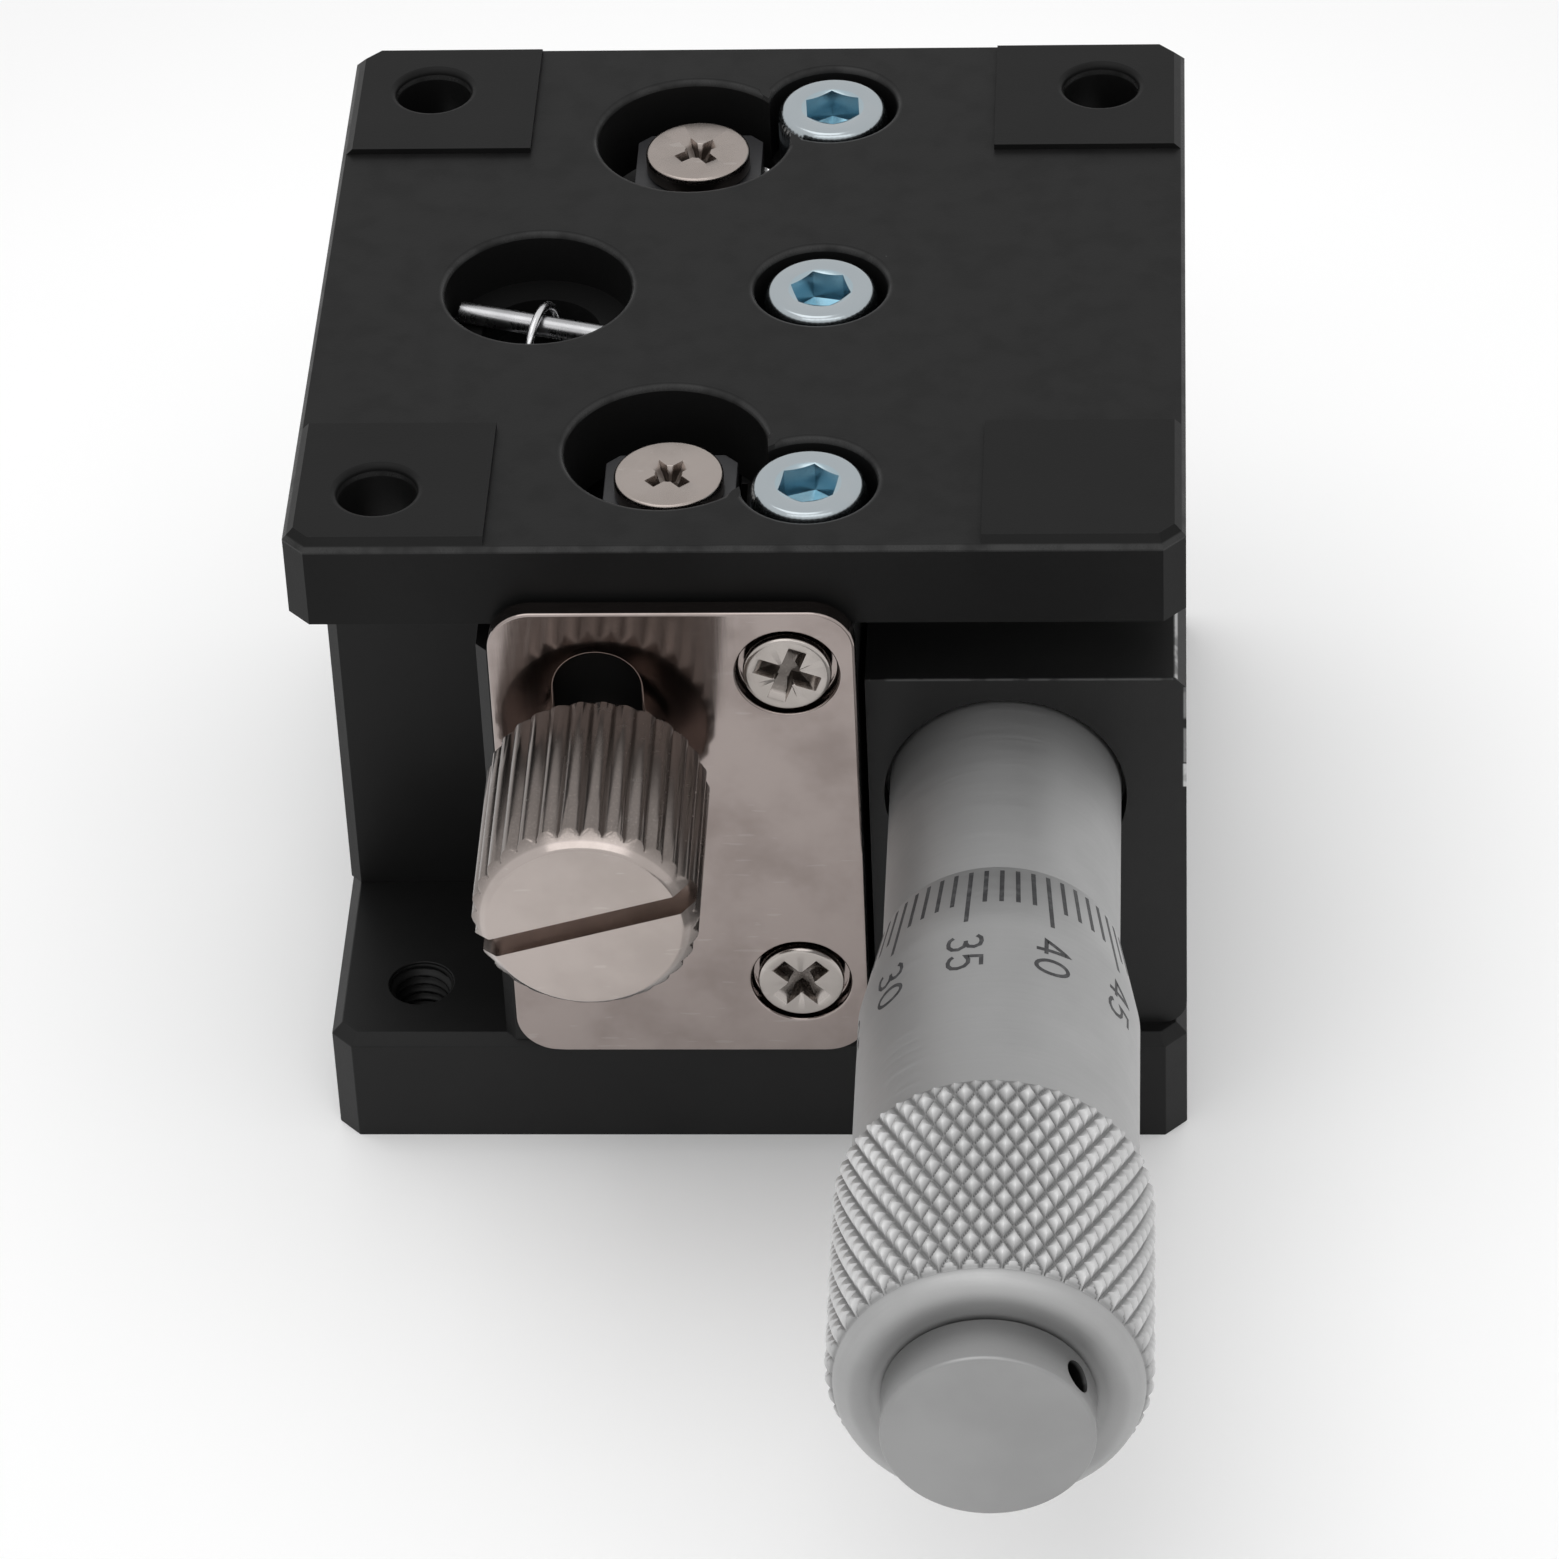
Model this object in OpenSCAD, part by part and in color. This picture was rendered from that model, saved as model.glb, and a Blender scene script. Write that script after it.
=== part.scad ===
// Vertical lift stage, 40 mm class, driven by a horizontal micrometer.
// Origin: centre of the base's underside. +Z up, +Y away from the micrometer.
// The carriage runs on two upright crossed-roller guides, a bell crank turns the
// spindle's push into lift, a tension spring holds it down and a plate clamps it.

/* [Body] */
// Width of the base and the platform, along X
body_w = 40; // [40:0.5:42]
// Depth of the base and the platform, along Y
body_d = 40; // [40:0.5:42]
// Height of the platform's top above the underside, as the stage stands
rest_h = 35; // [35:0.25:36]
// Thickness of the base
base_t = 6; // [5.75:0.25:6]
// Thickness of the platform
platform_t = 4.5; // [4.5:0.25:5]
// Chamfer of the upright corners
corner_c = 1; // [0.6:0.1:1.4]
// Chamfer of the top edges
edge_c = 0.5; // [0.4:0.05:0.6]

/* [Platform] */
// Spacing of the corner holes, both ways
mount_pitch = 32; // [31:0.5:32.5]
// Diameter of the platform's corner holes
platform_hole_d = 3.6; // [3.3:0.1:4]
// Diameter of a tapped M3 hole at its crests
tapped_d = 2.5; // [2.45:0.05:2.6]
// Height of the corner pads above the milled cross
pad_rise = 0.3; // [0.2:0.05:0.35]
// Side of a corner pad
pad_side = 9; // [8:0.25:9.5]
// Diameter of the holes that clear the fixed rails
rail_hole_d = 9.2; // [9:0.1:9.4]
// Diameter of the spring's hole at the top
spring_hole_d = 8.7; // [8.5:0.1:9]

/* [Travel] */
// Travel below the height at which the stage stands
travel_down = 1; // [0.5:0.1:1]
// Travel above it
travel_up = 5; // [3:0.5:5]

/* [Guides] */
// Size of a rail along X
rail_x = 6; // [5.8:0.1:6]
// Size of a rail along Y
rail_y = 5.5; // [5.3:0.1:5.6]
// Gap between a fixed and a moving rail
rail_gap = 1; // [0.9:0.05:1.1]
// Diameter of a crossed roller
roller_d = 2; // [1.9:0.05:2.1]
// Rollers in one cage
roller_count = 5; // [4:1:5]

/* [Micrometer] */
// Diameter of the sleeve
sleeve_d = 10.5; // [10.2:0.1:10.8]
// Diameter of the plain part of the thimble
thimble_d = 12.3; // [12:0.1:12.6]
// Diameter over the grip
grip_d = 13.7; // [13.2:0.1:14]
// Length of the grip
grip_len = 11.5; // [10:0.5:12]
// Diameter of the end cap
cap_d = 8.9; // [8.4:0.1:9.2]
// Diameter of the spindle
spindle_d = 5; // [4.8:0.1:5]

/* [Clamp] */
// Width of the clamp plate
clamp_w = 16.35; // [15.8:0.05:16.4]
// Height of the platform's top above the clamp plate
clamp_drop = 3; // [2.8:0.1:3.4]
// Thickness of the clamp plate
clamp_t = 1; // [0.8:0.1:1.2]
// Diameter of the thumb knob over its teeth
knob_d = 10; // [9:0.5:10.5]
// Length of the thumb knob
knob_len = 9.2; // [8:0.2:10]
// Teeth round the thumb knob
knob_teeth = 30; // [24:1:36]

/* [Hidden] */
$fn = 64;

// Clearances
cut = 0.01;          // overrun of a cutting solid past a face
fit_r = 0.02;        // radial clearance of a screw or pin that stays put
run_r = 0.05;        // radial clearance of a part that turns or slides in another
part_gap = 0.3;      // gap between pieces that move past each other

// Screw sizes
m3_r = 1.5;
m3_head_r = 2.75;
m3_head_h = 3;
m3_bore_r = 3.1;
m3_socket_af = 2.5;
m2_r = 1;
m2_head_r = 1.9;
m2_head_h = 2;
m2_bore_r = 2.05;
m2_socket_af = 1.5;
m25_r = 1.25;
socket_depth = 0.5;  // share of a head's height that its socket takes
head_c = 0.25;       // chamfer of a screw head's rim

// Heights
base_top = base_t;
platform_z = rest_h - platform_t;
recess_z = rest_h - pad_rise;
stop_gap = 0.5;
column_top = platform_z - travel_down - stop_gap;
carriage_z = base_top + travel_down + stop_gap;

// Plan of the guides
guide_x = -3.2;
outer_seat_x = guide_x - rail_x / 2;
inner_seat_x = guide_x + rail_x / 2;
pocket_x = outer_seat_x - part_gap;
web_x = inner_seat_x + part_gap;
web_t = 5.2;
web_end_x = web_x + web_t;
outer_rail_inset = 7.1;
outer_rail_y = body_d / 2 - outer_rail_inset;
outer_rail_in = outer_rail_y - rail_y / 2;
outer_rail_out = outer_rail_y + rail_y / 2;
roller_y = outer_rail_in - rail_gap / 2;
inner_rail_out = outer_rail_in - rail_gap;
tongue_half = inner_rail_out - rail_y;
inner_rail_y = inner_rail_out - rail_y / 2;
rail_c = 0.6;
track_r = 0.03;
groove_side = roller_d + 2 * track_r;
groove_relief = 0.35;

// Rails and cages
outer_rail_drop = 2.5;
outer_rail_rise = 1.5;
outer_screw_in = 6.5;
outer_rail_top = rest_h - outer_rail_drop;
outer_rail_z = base_top + outer_rail_rise;
outer_rail_len = outer_rail_top - outer_rail_z;
outer_screw_z = [outer_rail_z + outer_screw_in, outer_rail_top - outer_screw_in];
inner_rail_z = carriage_z + part_gap;
inner_rail_len = platform_z - part_gap - inner_rail_z;
inner_screw_in = 2;
inner_screw_z = [inner_rail_z + inner_screw_in, inner_rail_z + inner_rail_len - inner_screw_in];
roller_len = roller_d * 0.95;
roller_pitch = 3.5;
cage_mid_z = (outer_rail_z + outer_rail_top) / 2 - (travel_up - travel_down) / 4;
cage_t = rail_gap - 2 * part_gap;
cage_w = 4.4;
cage_window_x = 3;
cage_window_gap = 0.1;
cage_window = [cage_window_x, roller_d + cage_window_gap];
cage_ends = 1.8;
cage_len = (roller_count - 1) * roller_pitch + roller_d + cage_ends;
end_screw_r = 2.48;
end_screw_h = 1;
end_screw_shank = 4;
outer_screw_grip = 3.5;
inner_screw_grip = 3.5;

// Column
column_x0 = -body_w / 2;
column_half = 8.6;
arm_x0 = -11.7;
arm_gap = 0.5;
arm_x1 = web_x - arm_gap;
arm_c = 0.5;
spring_x = -9.9;
spring_bore_r = 2.8;
spine_screw_in = 4;
spine_screw_y = 5.6;
arm_screw_x = -9.05;
arm_screw_in = 5.4;
column_screw_at = [for (side = [1, -1], at = [
  [column_x0 + spine_screw_in, spine_screw_y], [arm_screw_x, body_d / 2 - arm_screw_in]
]) [at[0], side * at[1]]];
base_screw_floor = 2.6;
base_screw_grip = 4.2;

// Platform
rail_hole_out = 0.1;
rail_hole_in = 0.45;
rail_hole_at = [guide_x - rail_hole_out, outer_rail_y - rail_hole_in];
platform_screw_x = 3.2;
platform_screw_in = 5;
platform_screw_y = body_d / 2 - platform_screw_in;
head_sink = 0.55;
platform_screw_len = 8;
carriage_hole_len = 8;

// Spring
spring_ledge = 3;
spring_pin_r = 0.5;
spring_pin_len = 8;
spring_pin_turn = -16.4;
spring_wire_r = 0.2;
spring_coil_r = 2;
spring_turns = 14;
spring_loop_turn = 196;
spring_loop_over = 8;
spring_pin_z = rest_h - spring_ledge + spring_pin_r;
spring_low_z = spring_ledge - spring_pin_r;

// Micrometer, measured along its axis from the stage's middle plane
mic_x = 11.8;
mic_z = 19.7;
block_x0 = web_end_x + part_gap;
block_x1 = body_w / 2;
block_inset = 1.1;
block_len = 10.5;
block_drop = 4.1;
block_front = body_d / 2 - block_inset;
block_back = block_front - block_len;
block_top = platform_z - block_drop;
block_r = 1.3;
block_edge_c = 0.5;
ring_gap = 0.25;
block_ring_r = sleeve_d / 2 + ring_gap;
block_ring_depth = 1.5;
stem_r = 4.75;
stem_in = 0.5;
stem_end = block_back + stem_in;
sleeve_out = 26.1;
sleeve_end = block_front + sleeve_out;
thimble_out = 11.5;
thimble_taper = 4.8;
thimble_plain = 10.5;
thimble_start = block_front + thimble_out;
thimble_full = thimble_start + thimble_taper;
thimble_rim = 0.1;
grip_start = thimble_full + thimble_plain;
grip_end = grip_start + grip_len;
grip_rim = 0.9;
thimble_end = grip_end + grip_rim;
thimble_room = 6.4;
thimble_hollow_end = sleeve_end + thimble_room;
shoulder_r = 1;
cap_len = 2.3;
cap_end = thimble_end + cap_len;
cap_c = 0.15;
spanner_r = 0.45;
spanner_angle = 29;
spanner_in = 1.2;
spanner_at = thimble_end + spanner_in;
block_screw_x = [9, 16.2];
block_screw_in = [3.7, 2.5];
block_screw_at = [
  [block_screw_x[0], block_screw_in[0] - block_front],
  [block_screw_x[1], -block_back - block_screw_in[1]]
];
set_screw_len = 3;

// Bell crank, at half travel its arms stand upright and level
lever_arm = 7.8;
lever_y = 3;
lever_z = mic_z - lever_arm;
lever_half_travel = (travel_down + travel_up) / 2;
lever_tilt = asin((lever_half_travel - travel_down) / lever_arm);
lever_hub_r = 3.4;
lever_pin_r = 2;
lever_root_r = 2.2;
lever_tip_r = 1;
lever_seat_r = 2.5;
lever_lip = 0.7;
contact_r = 1.8;
lever_web_gap = 0.7;
arm_t = 2.8;
lift_x = [web_end_x + lever_web_gap, web_end_x + lever_web_gap + arm_t];
push_x = [mic_x - arm_t / 2, mic_x + arm_t / 2];
wall_x = 14.8;
wall_gap = 0.5;
hub_x = [lift_x[0], wall_x - wall_gap];
wall_back = 8.5;
wall_rise = 0.3;
wall_top = mic_z + wall_rise;
boss_r = 3.2;
lift_tip_y = lever_y - lever_arm * cos(lever_tilt);
lift_tip_z = lever_z - lever_arm * sin(lever_tilt);
push_tip_y = lever_y - lever_arm * sin(lever_tilt);
stub_front = 1.6;
stub_back = 1.3;
stub_reach = 3.6;
stub_y = [lift_tip_y - stub_front, lift_tip_y + stub_back];
stub_x1 = web_end_x + stub_reach;
stub_z = lift_tip_z + contact_r + part_gap;
stub_t = 3.2;
spindle_tip = -(push_tip_y - contact_r - part_gap);
spindle_nose_r = 1.8;
spindle_nose_len = 2;
spindle_end = thimble_end - part_gap;

// Clamp
carriage_front = body_d / 2 + part_gap;
clamp_front = carriage_front + clamp_t;
clamp_x0 = -11;
clamp_rise = 0.4;
clamp_z0 = base_top + clamp_rise;
clamp_z1 = rest_h - clamp_drop;
clamp_r = 2;
slot_w = 3.9;
knob_x = -6.2;
knob_drop = 6.4;
knob_z = platform_z - knob_drop;
slot_over = 2.75;
slot_under = 1.6;
slot_top_z = knob_z + travel_down + slot_over;
slot_low_z = knob_z - travel_up - slot_under;
clamp_screw_x = 2.3;
clamp_screw_in = [3.15, 1.85];
clamp_screw_z = [carriage_z + clamp_screw_in[0], platform_z - clamp_screw_in[1]];
clamp_head_r = 2.1;
clamp_sink_r = 2.3;
clamp_head_h = 0.7;
clamp_screw_len = 3;
clamp_hole_depth = 3.2;
collar_r = 3;
collar_room = 1.9;
knob_back = clamp_front + collar_room;
knob_front = knob_back + knob_len;
knob_bevel = 0.6;
knob_tooth_h = 0.35;
knob_root_r = knob_d / 2 - knob_tooth_h;
knob_slot_w = 1;
knob_slot_depth = 1.5;
knob_slot_turn = 18;
stud_hole_in = 3.6;
stud_in = 3.2;
stud_hole_end = body_d / 2 - stud_hole_in;
stud_end = body_d / 2 - stud_in;
stud_in_knob = 4.5;

// Colours
black = [0.07, 0.07, 0.08];
nickel = [0.72, 0.7, 0.67];
chrome = [0.7, 0.71, 0.72];
zinc = [0.72, 0.76, 0.8];
steel = [0.55, 0.56, 0.58];
dark_steel = [0.2, 0.2, 0.22];
brass_tint = [0.66, 0.53, 0.28];

// Outline of a rectangle with its four corners cut off
function cut_rect(w, d, c) = [
  [-w / 2 + c, -d / 2], [w / 2 - c, -d / 2], [w / 2, -d / 2 + c], [w / 2, d / 2 - c],
  [w / 2 - c, d / 2], [-w / 2 + c, d / 2], [-w / 2, d / 2 - c], [-w / 2, -d / 2 + c]
];

// Side view of a plate whose top edges are chamfered
function plate_side(w, h, e) = [
  [-w / 2, 0], [w / 2, 0], [w / 2, h - e], [w / 2 - e, h], [-w / 2 + e, h], [-w / 2, h - e]
];

// Points of a toothed circle
function toothed(r, h, n) = [
  for (i = [0 : 2 * n - 1]) (i % 2 == 0 ? r : r - h) * [cos(180 * i / n), sin(180 * i / n)]
];

// The list from its end to its start
function backwards(list) = [for (i = [len(list) - 1 : -1 : 0]) list[i]];

// Turns the extrusion direction of its children from Z to X, the outline into YZ
module along_x() { rotate([90, 0, 90]) children(); }

// Turns Z into -Y, so that a revolved shape's length runs out towards the user
module along_mic() { rotate([90, 0, 0]) children(); }

// Places children at the mirrored front (-Y) and back (+Y) positions
module front() { mirror([0, 1, 0]) children(); }

// Plate with cut upright corners and chamfered top edges
module chamfered_plate(w, d, h, c, e) {
  diagonal = (w + d - 2 * c) / sqrt(2);
  intersection() {
    linear_extrude(h) polygon(cut_rect(w, d, c));
    rotate([90, 0, 0]) linear_extrude(d, center = true) polygon(plate_side(w, h, e));
    along_x() linear_extrude(w, center = true) polygon(plate_side(d, h, e));
    intersection_for (turn = [45, -45])
      rotate([90, 0, turn]) linear_extrude(2 * diagonal, center = true)
        polygon(plate_side(diagonal, h, e));
  }
}

// Round rod, or the hole for one, between two heights
module rod(r, z0, z1) { translate([0, 0, z0]) cylinder(r = r, h = z1 - z0); }

// Box between two corners
module block(a, b) { translate(a) cube(b - a); }

// Socket head screw, head's underside at z = 0, shank down
module socket_screw(r, head_r, head_h, len, af) {
  difference() {
    union() {
      rotate_extrude() polygon([
        [0, 0], [head_r, 0], [head_r, head_h - head_c], [head_r - head_c, head_h], [0, head_h]
      ]);
      rod(r, -len, cut);
    }
    translate([0, 0, head_h * (1 - socket_depth)])
      cylinder(r = af / sqrt(3), h = head_h, $fn = 6);
  }
}

// Cross recess, open at z = 0 and cut downwards
module cross_recess(r, depth) {
  for (turn = [0, 90])
    rotate([0, 0, turn])
      translate([-r, -r / 5, -depth]) cube([2 * r, 2 * r / 5, depth + cut]);
}

// Straight slot's outline along the second axis
module slot_outline(w, from, to) {
  translate([-w / 2, from]) square([w, to - from]);
  for (end = [from, to]) translate([0, end]) circle(d = w);
}

// Rectangle with round corners between two corners
module round_rect(a, b, r) {
  translate(a + [r, 0]) square(b - a - [2 * r, 0]);
  translate(a + [0, r]) square(b - a - [0, 2 * r]);
  for (x = [a[0] + r, b[0] - r], y = [a[1] + r, b[1] - r]) translate([x, y]) circle(r = r);
}

// Every corner of the mounting square
module at_corners(signs) {
  for (s = signs) translate([s[0] * mount_pitch / 2, s[1] * mount_pitch / 2, 0]) children();
}

// Clearance hole and head counterbore for a screw driven up from below
module base_screw_hole() {
  rod(m3_r + fit_r, -cut, base_t + cut);
  rod(m3_bore_r, -cut, base_t - base_screw_floor);
}

// Hole for the spring with the ledge that its cross pin lies on, ledge at z = 0 looking up
module spring_hole(depth, through) {
  rod(spring_hole_d / 2, 0, depth + cut);
  rod(spring_bore_r, -through - cut, cut);
}

module base_plate() {
  color(black) difference() {
    chamfered_plate(body_w, body_d, base_t, corner_c, edge_c);
    at_corners([[1, 1], [-1, 1], [1, -1], [-1, -1]]) rod(tapped_d / 2, -cut, base_t + cut);
    for (at = concat(column_screw_at, block_screw_at)) translate(at) base_screw_hole();
    translate([spring_x, 0, spring_ledge]) mirror([0, 0, 1])
      spring_hole(spring_ledge, base_t - spring_ledge);
  }
}

// Half outline of the column, from the spine's middle round the back arm
column_half_outline = [
  [pocket_x, roller_y], [outer_seat_x, roller_y], [outer_seat_x, outer_rail_out],
  [arm_x1, outer_rail_out], [arm_x1, body_d / 2], [arm_x0 + arm_c, body_d / 2],
  [arm_x0, body_d / 2 - arm_c], [arm_x0, column_half], [column_x0 + arm_c, column_half],
  [column_x0, column_half - arm_c]
];

module column() {
  color(black) difference() {
    translate([0, 0, base_top]) linear_extrude(column_top - base_top)
      polygon(concat(column_half_outline,
        [for (p = backwards(column_half_outline)) [p[0], -p[1]]]));
    translate([spring_x, 0, 0]) rod(spring_bore_r, base_top - cut, column_top + cut);
    for (at = column_screw_at)
      translate(at) rod(m3_r + fit_r, base_top - cut, base_top + base_screw_grip + cut);
    for (side = [-1, 1], z = outer_screw_z)
      translate([outer_seat_x + cut, side * outer_rail_y, z]) rotate([0, -90, 0])
        cylinder(r = m2_r + fit_r, h = outer_screw_grip + cut);
    translate([knob_x, -stud_hole_end, knob_z]) along_mic()
      cylinder(r = m3_r + run_r, h = body_d / 2 - stud_hole_end + cut);
  }
}

module column_screws() {
  color(zinc) for (at = column_screw_at)
    translate([at[0], at[1], base_t - base_screw_floor]) mirror([0, 0, 1])
      socket_screw(m3_r, m3_head_r, m3_head_h, base_screw_floor + base_screw_grip,
        m3_socket_af);
}

// Square outline of the roller track between two rails, turned onto its corner
module track_outline() {
  translate([guide_x, roller_y]) rotate(45) square(groove_side, center = true);
  translate([guide_x, roller_y])
    square([groove_relief, groove_side * sqrt(2) + groove_relief], center = true);
}

// Rail blank with its groove; inner_edge is the rail's face nearest the middle plane
module rail(inner_edge, z, len) {
  translate([0, 0, z]) linear_extrude(len) difference() {
    translate([guide_x, inner_edge + rail_y / 2]) polygon(cut_rect(rail_x, rail_y, rail_c));
    track_outline();
  }
}

module outer_rail() {
  color(dark_steel) difference() {
    rail(outer_rail_in, outer_rail_z, outer_rail_len);
    for (z = outer_screw_z)
      translate([guide_x + rail_x / 2 + cut, outer_rail_y, z]) rotate([0, -90, 0]) {
        cylinder(r = m2_r + fit_r, h = rail_x + 2 * cut);
        cylinder(r = m2_bore_r, h = m2_head_h + 2 * cut);
      }
    for (end = [outer_rail_z - cut, outer_rail_top - end_screw_shank])
      translate([guide_x, outer_rail_y, end])
        cylinder(r = m25_r + fit_r, h = end_screw_shank + cut);
  }
}

module outer_rail_front() { front() outer_rail(); }

module outer_rail_back() { outer_rail(); }

module outer_rail_screws() {
  head_x = inner_seat_x - m2_head_h - cut;
  grip = head_x - outer_seat_x + outer_screw_grip;
  color(steel) for (side = [-1, 1], z = outer_screw_z)
    translate([head_x, side * outer_rail_y, z]) rotate([0, 90, 0])
      socket_screw(m2_r, m2_head_r, m2_head_h, grip, m2_socket_af);
}

// Flat cross-head screw that closes a rail's end, underside at z = 0
module end_screw() {
  difference() {
    union() {
      rod(end_screw_r, 0, end_screw_h);
      rod(m25_r, cut - end_screw_shank + end_screw_h / 2, cut);
    }
    translate([0, 0, end_screw_h]) cross_recess(end_screw_r / 2, end_screw_h * 0.7);
  }
}

module rail_end_screws() {
  color(nickel) for (side = [-1, 1]) {
    translate([guide_x, side * outer_rail_y, outer_rail_top]) rotate([0, 0, 35 * side])
      end_screw();
    translate([guide_x, side * outer_rail_y, outer_rail_z]) mirror([0, 0, 1]) end_screw();
  }
}

// Front view of the micrometer block: its lower right corner is round
module block_outline() {
  w = block_x1 - block_x0;
  h = block_top - base_top;
  polygon([
    [0, 0], [w - block_r, 0], [w - block_r, block_r], [w, block_r],
    [w, h - block_edge_c], [w - block_edge_c, h], [0, h]
  ]);
  translate([w - block_r, block_r]) circle(r = block_r);
}

module micrometer_block() {
  color(black) difference() {
    union() {
      translate([block_x0, -block_back, base_top]) along_mic()
        linear_extrude(block_front - block_back) block_outline();
      block([wall_x, -block_back - cut, base_top],
        [block_x1 - block_edge_c, wall_back, wall_top]);
      translate([hub_x[1] + part_gap, lever_y, lever_z]) rotate([0, 90, 0])
        cylinder(r = boss_r, h = wall_x - hub_x[1] - part_gap + cut);
    }
    translate([mic_x, 0, mic_z]) along_mic() {
      rod(stem_r + fit_r, block_back - cut, block_front + cut);
      rod(block_ring_r, block_front - block_ring_depth, block_front + cut);
    }
    translate([hub_x[1], lever_y, lever_z]) rotate([0, 90, 0])
      cylinder(r = lever_pin_r + fit_r, h = body_w);
    for (at = block_screw_at)
      translate(at) rod(m3_r + fit_r, base_top - cut, base_top + base_screw_grip + cut);
    translate([mic_x + stem_r / 2, -(block_front + block_back) / 2, mic_z]) rotate([0, 90, 0])
      cylinder(r = m3_r + fit_r, h = body_w);
  }
}

module block_screws() {
  color(zinc) for (at = block_screw_at)
    translate([at[0], at[1], base_t - base_screw_floor]) mirror([0, 0, 1])
      socket_screw(m3_r, m3_head_r, m3_head_h, base_screw_floor + base_screw_grip,
        m3_socket_af);
}

module block_set_screw() {
  color(dark_steel)
    translate([mic_x + stem_r, -(block_front + block_back) / 2, mic_z]) rotate([0, 90, 0])
      difference() {
        cylinder(r = m3_r, h = set_screw_len);
        translate([0, 0, set_screw_len / 2])
          cylinder(r = m2_socket_af / sqrt(3), h = set_screw_len, $fn = 6);
      }
}

module sleeve() {
  color(chrome) translate([mic_x, 0, mic_z]) along_mic() difference() {
    union() {
      rod(stem_r, stem_end, block_front - block_ring_depth + cut);
      rod(sleeve_d / 2, block_front - block_ring_depth, sleeve_end);
    }
    rod(spindle_d / 2 + run_r, stem_end - cut, sleeve_end + cut);
  }
}

module lever_pin() {
  color(steel) translate([hub_x[0], lever_y, lever_z]) rotate([0, 90, 0])
    cylinder(r = lever_pin_r, h = block_x1 - block_edge_c - hub_x[0]);
}

// Cross pin that a spring's hook hangs on
module spring_pin(z) {
  color(steel) translate([spring_x, 0, z]) rotate([0, 90, spring_pin_turn])
    cylinder(r = spring_pin_r, h = spring_pin_len, center = true);
}

module spring_pin_lower() { spring_pin(spring_low_z); }

module spring_pin_upper() { spring_pin(spring_pin_z); }

module platform() {
  color(black) difference() {
    translate([0, 0, platform_z])
      chamfered_plate(body_w, body_d, platform_t, corner_c, edge_c);
    block([-body_w / 2 + pad_side, -body_d / 2 - cut, recess_z],
      [body_w / 2 - pad_side, body_d / 2 + cut, rest_h + cut]);
    block([-body_w / 2 - cut, -body_d / 2 + pad_side, recess_z],
      [body_w / 2 + cut, body_d / 2 - pad_side, rest_h + cut]);
    at_corners([[-1, -1], [-1, 1], [1, 1]])
      rod(platform_hole_d / 2, platform_z - cut, rest_h + cut);
    for (side = [-1, 1])
      translate([rail_hole_at[0], side * rail_hole_at[1]])
        rod(rail_hole_d / 2, platform_z - cut, rest_h + cut);
    for (y = [-platform_screw_y, 0, platform_screw_y])
      translate([platform_screw_x, y]) {
        rod(m3_r + fit_r, platform_z - cut, rest_h + cut);
        rod(m3_bore_r, recess_z - head_sink - m3_head_h, rest_h + cut);
      }
    translate([spring_x, 0, rest_h - spring_ledge])
      spring_hole(spring_ledge, platform_t - spring_ledge);
  }
}

module platform_screws() {
  color(zinc) for (y = [-platform_screw_y, 0, platform_screw_y])
    translate([platform_screw_x, y, recess_z - head_sink - m3_head_h])
      socket_screw(m3_r, m3_head_r, m3_head_h, platform_screw_len, m3_socket_af);
}

module carriage() {
  color(black) difference() {
    union() {
      block([web_x, -carriage_front, carriage_z], [web_end_x, body_d / 2, platform_z]);
      block([inner_seat_x, -roller_y, carriage_z], [web_end_x, roller_y, platform_z]);
      block([outer_seat_x, -tongue_half, carriage_z], [web_x, tongue_half, platform_z]);
      block([web_end_x - cut, stub_y[0], stub_z], [stub_x1, stub_y[1], stub_z + stub_t]);
    }
    for (y = [-platform_screw_y, 0, platform_screw_y])
      translate([platform_screw_x, y])
        rod(m3_r + fit_r, platform_z - carriage_hole_len, platform_z + cut);
    for (z = clamp_screw_z)
      translate([clamp_screw_x, -carriage_front + clamp_hole_depth, z]) along_mic()
        cylinder(r = m25_r + fit_r, h = clamp_hole_depth + cut);
    for (side = [-1, 1], z = inner_screw_z)
      translate([web_end_x + cut, side * inner_rail_y, z]) rotate([0, -90, 0]) {
        cylinder(r = m2_r + fit_r, h = web_end_x - inner_seat_x + 2 * cut);
        cylinder(r = m2_bore_r, h = m2_head_h + fit_r + cut);
      }
  }
}

module inner_rail() {
  color(dark_steel) difference() {
    rail(tongue_half, inner_rail_z, inner_rail_len);
    for (z = inner_screw_z)
      translate([inner_seat_x + cut, inner_rail_y, z]) rotate([0, -90, 0])
        cylinder(r = m2_r + fit_r, h = inner_screw_grip + cut);
  }
}

module inner_rail_front() { front() inner_rail(); }

module inner_rail_back() { inner_rail(); }

module inner_rail_screws() {
  head_x = web_end_x - m2_head_h - fit_r;
  grip = head_x - inner_seat_x + inner_screw_grip - cut;
  color(steel) for (side = [-1, 1], z = inner_screw_z)
    translate([head_x, side * inner_rail_y, z]) rotate([0, 90, 0])
      socket_screw(m2_r, m2_head_r, m2_head_h, grip, m2_socket_af);
}

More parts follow.
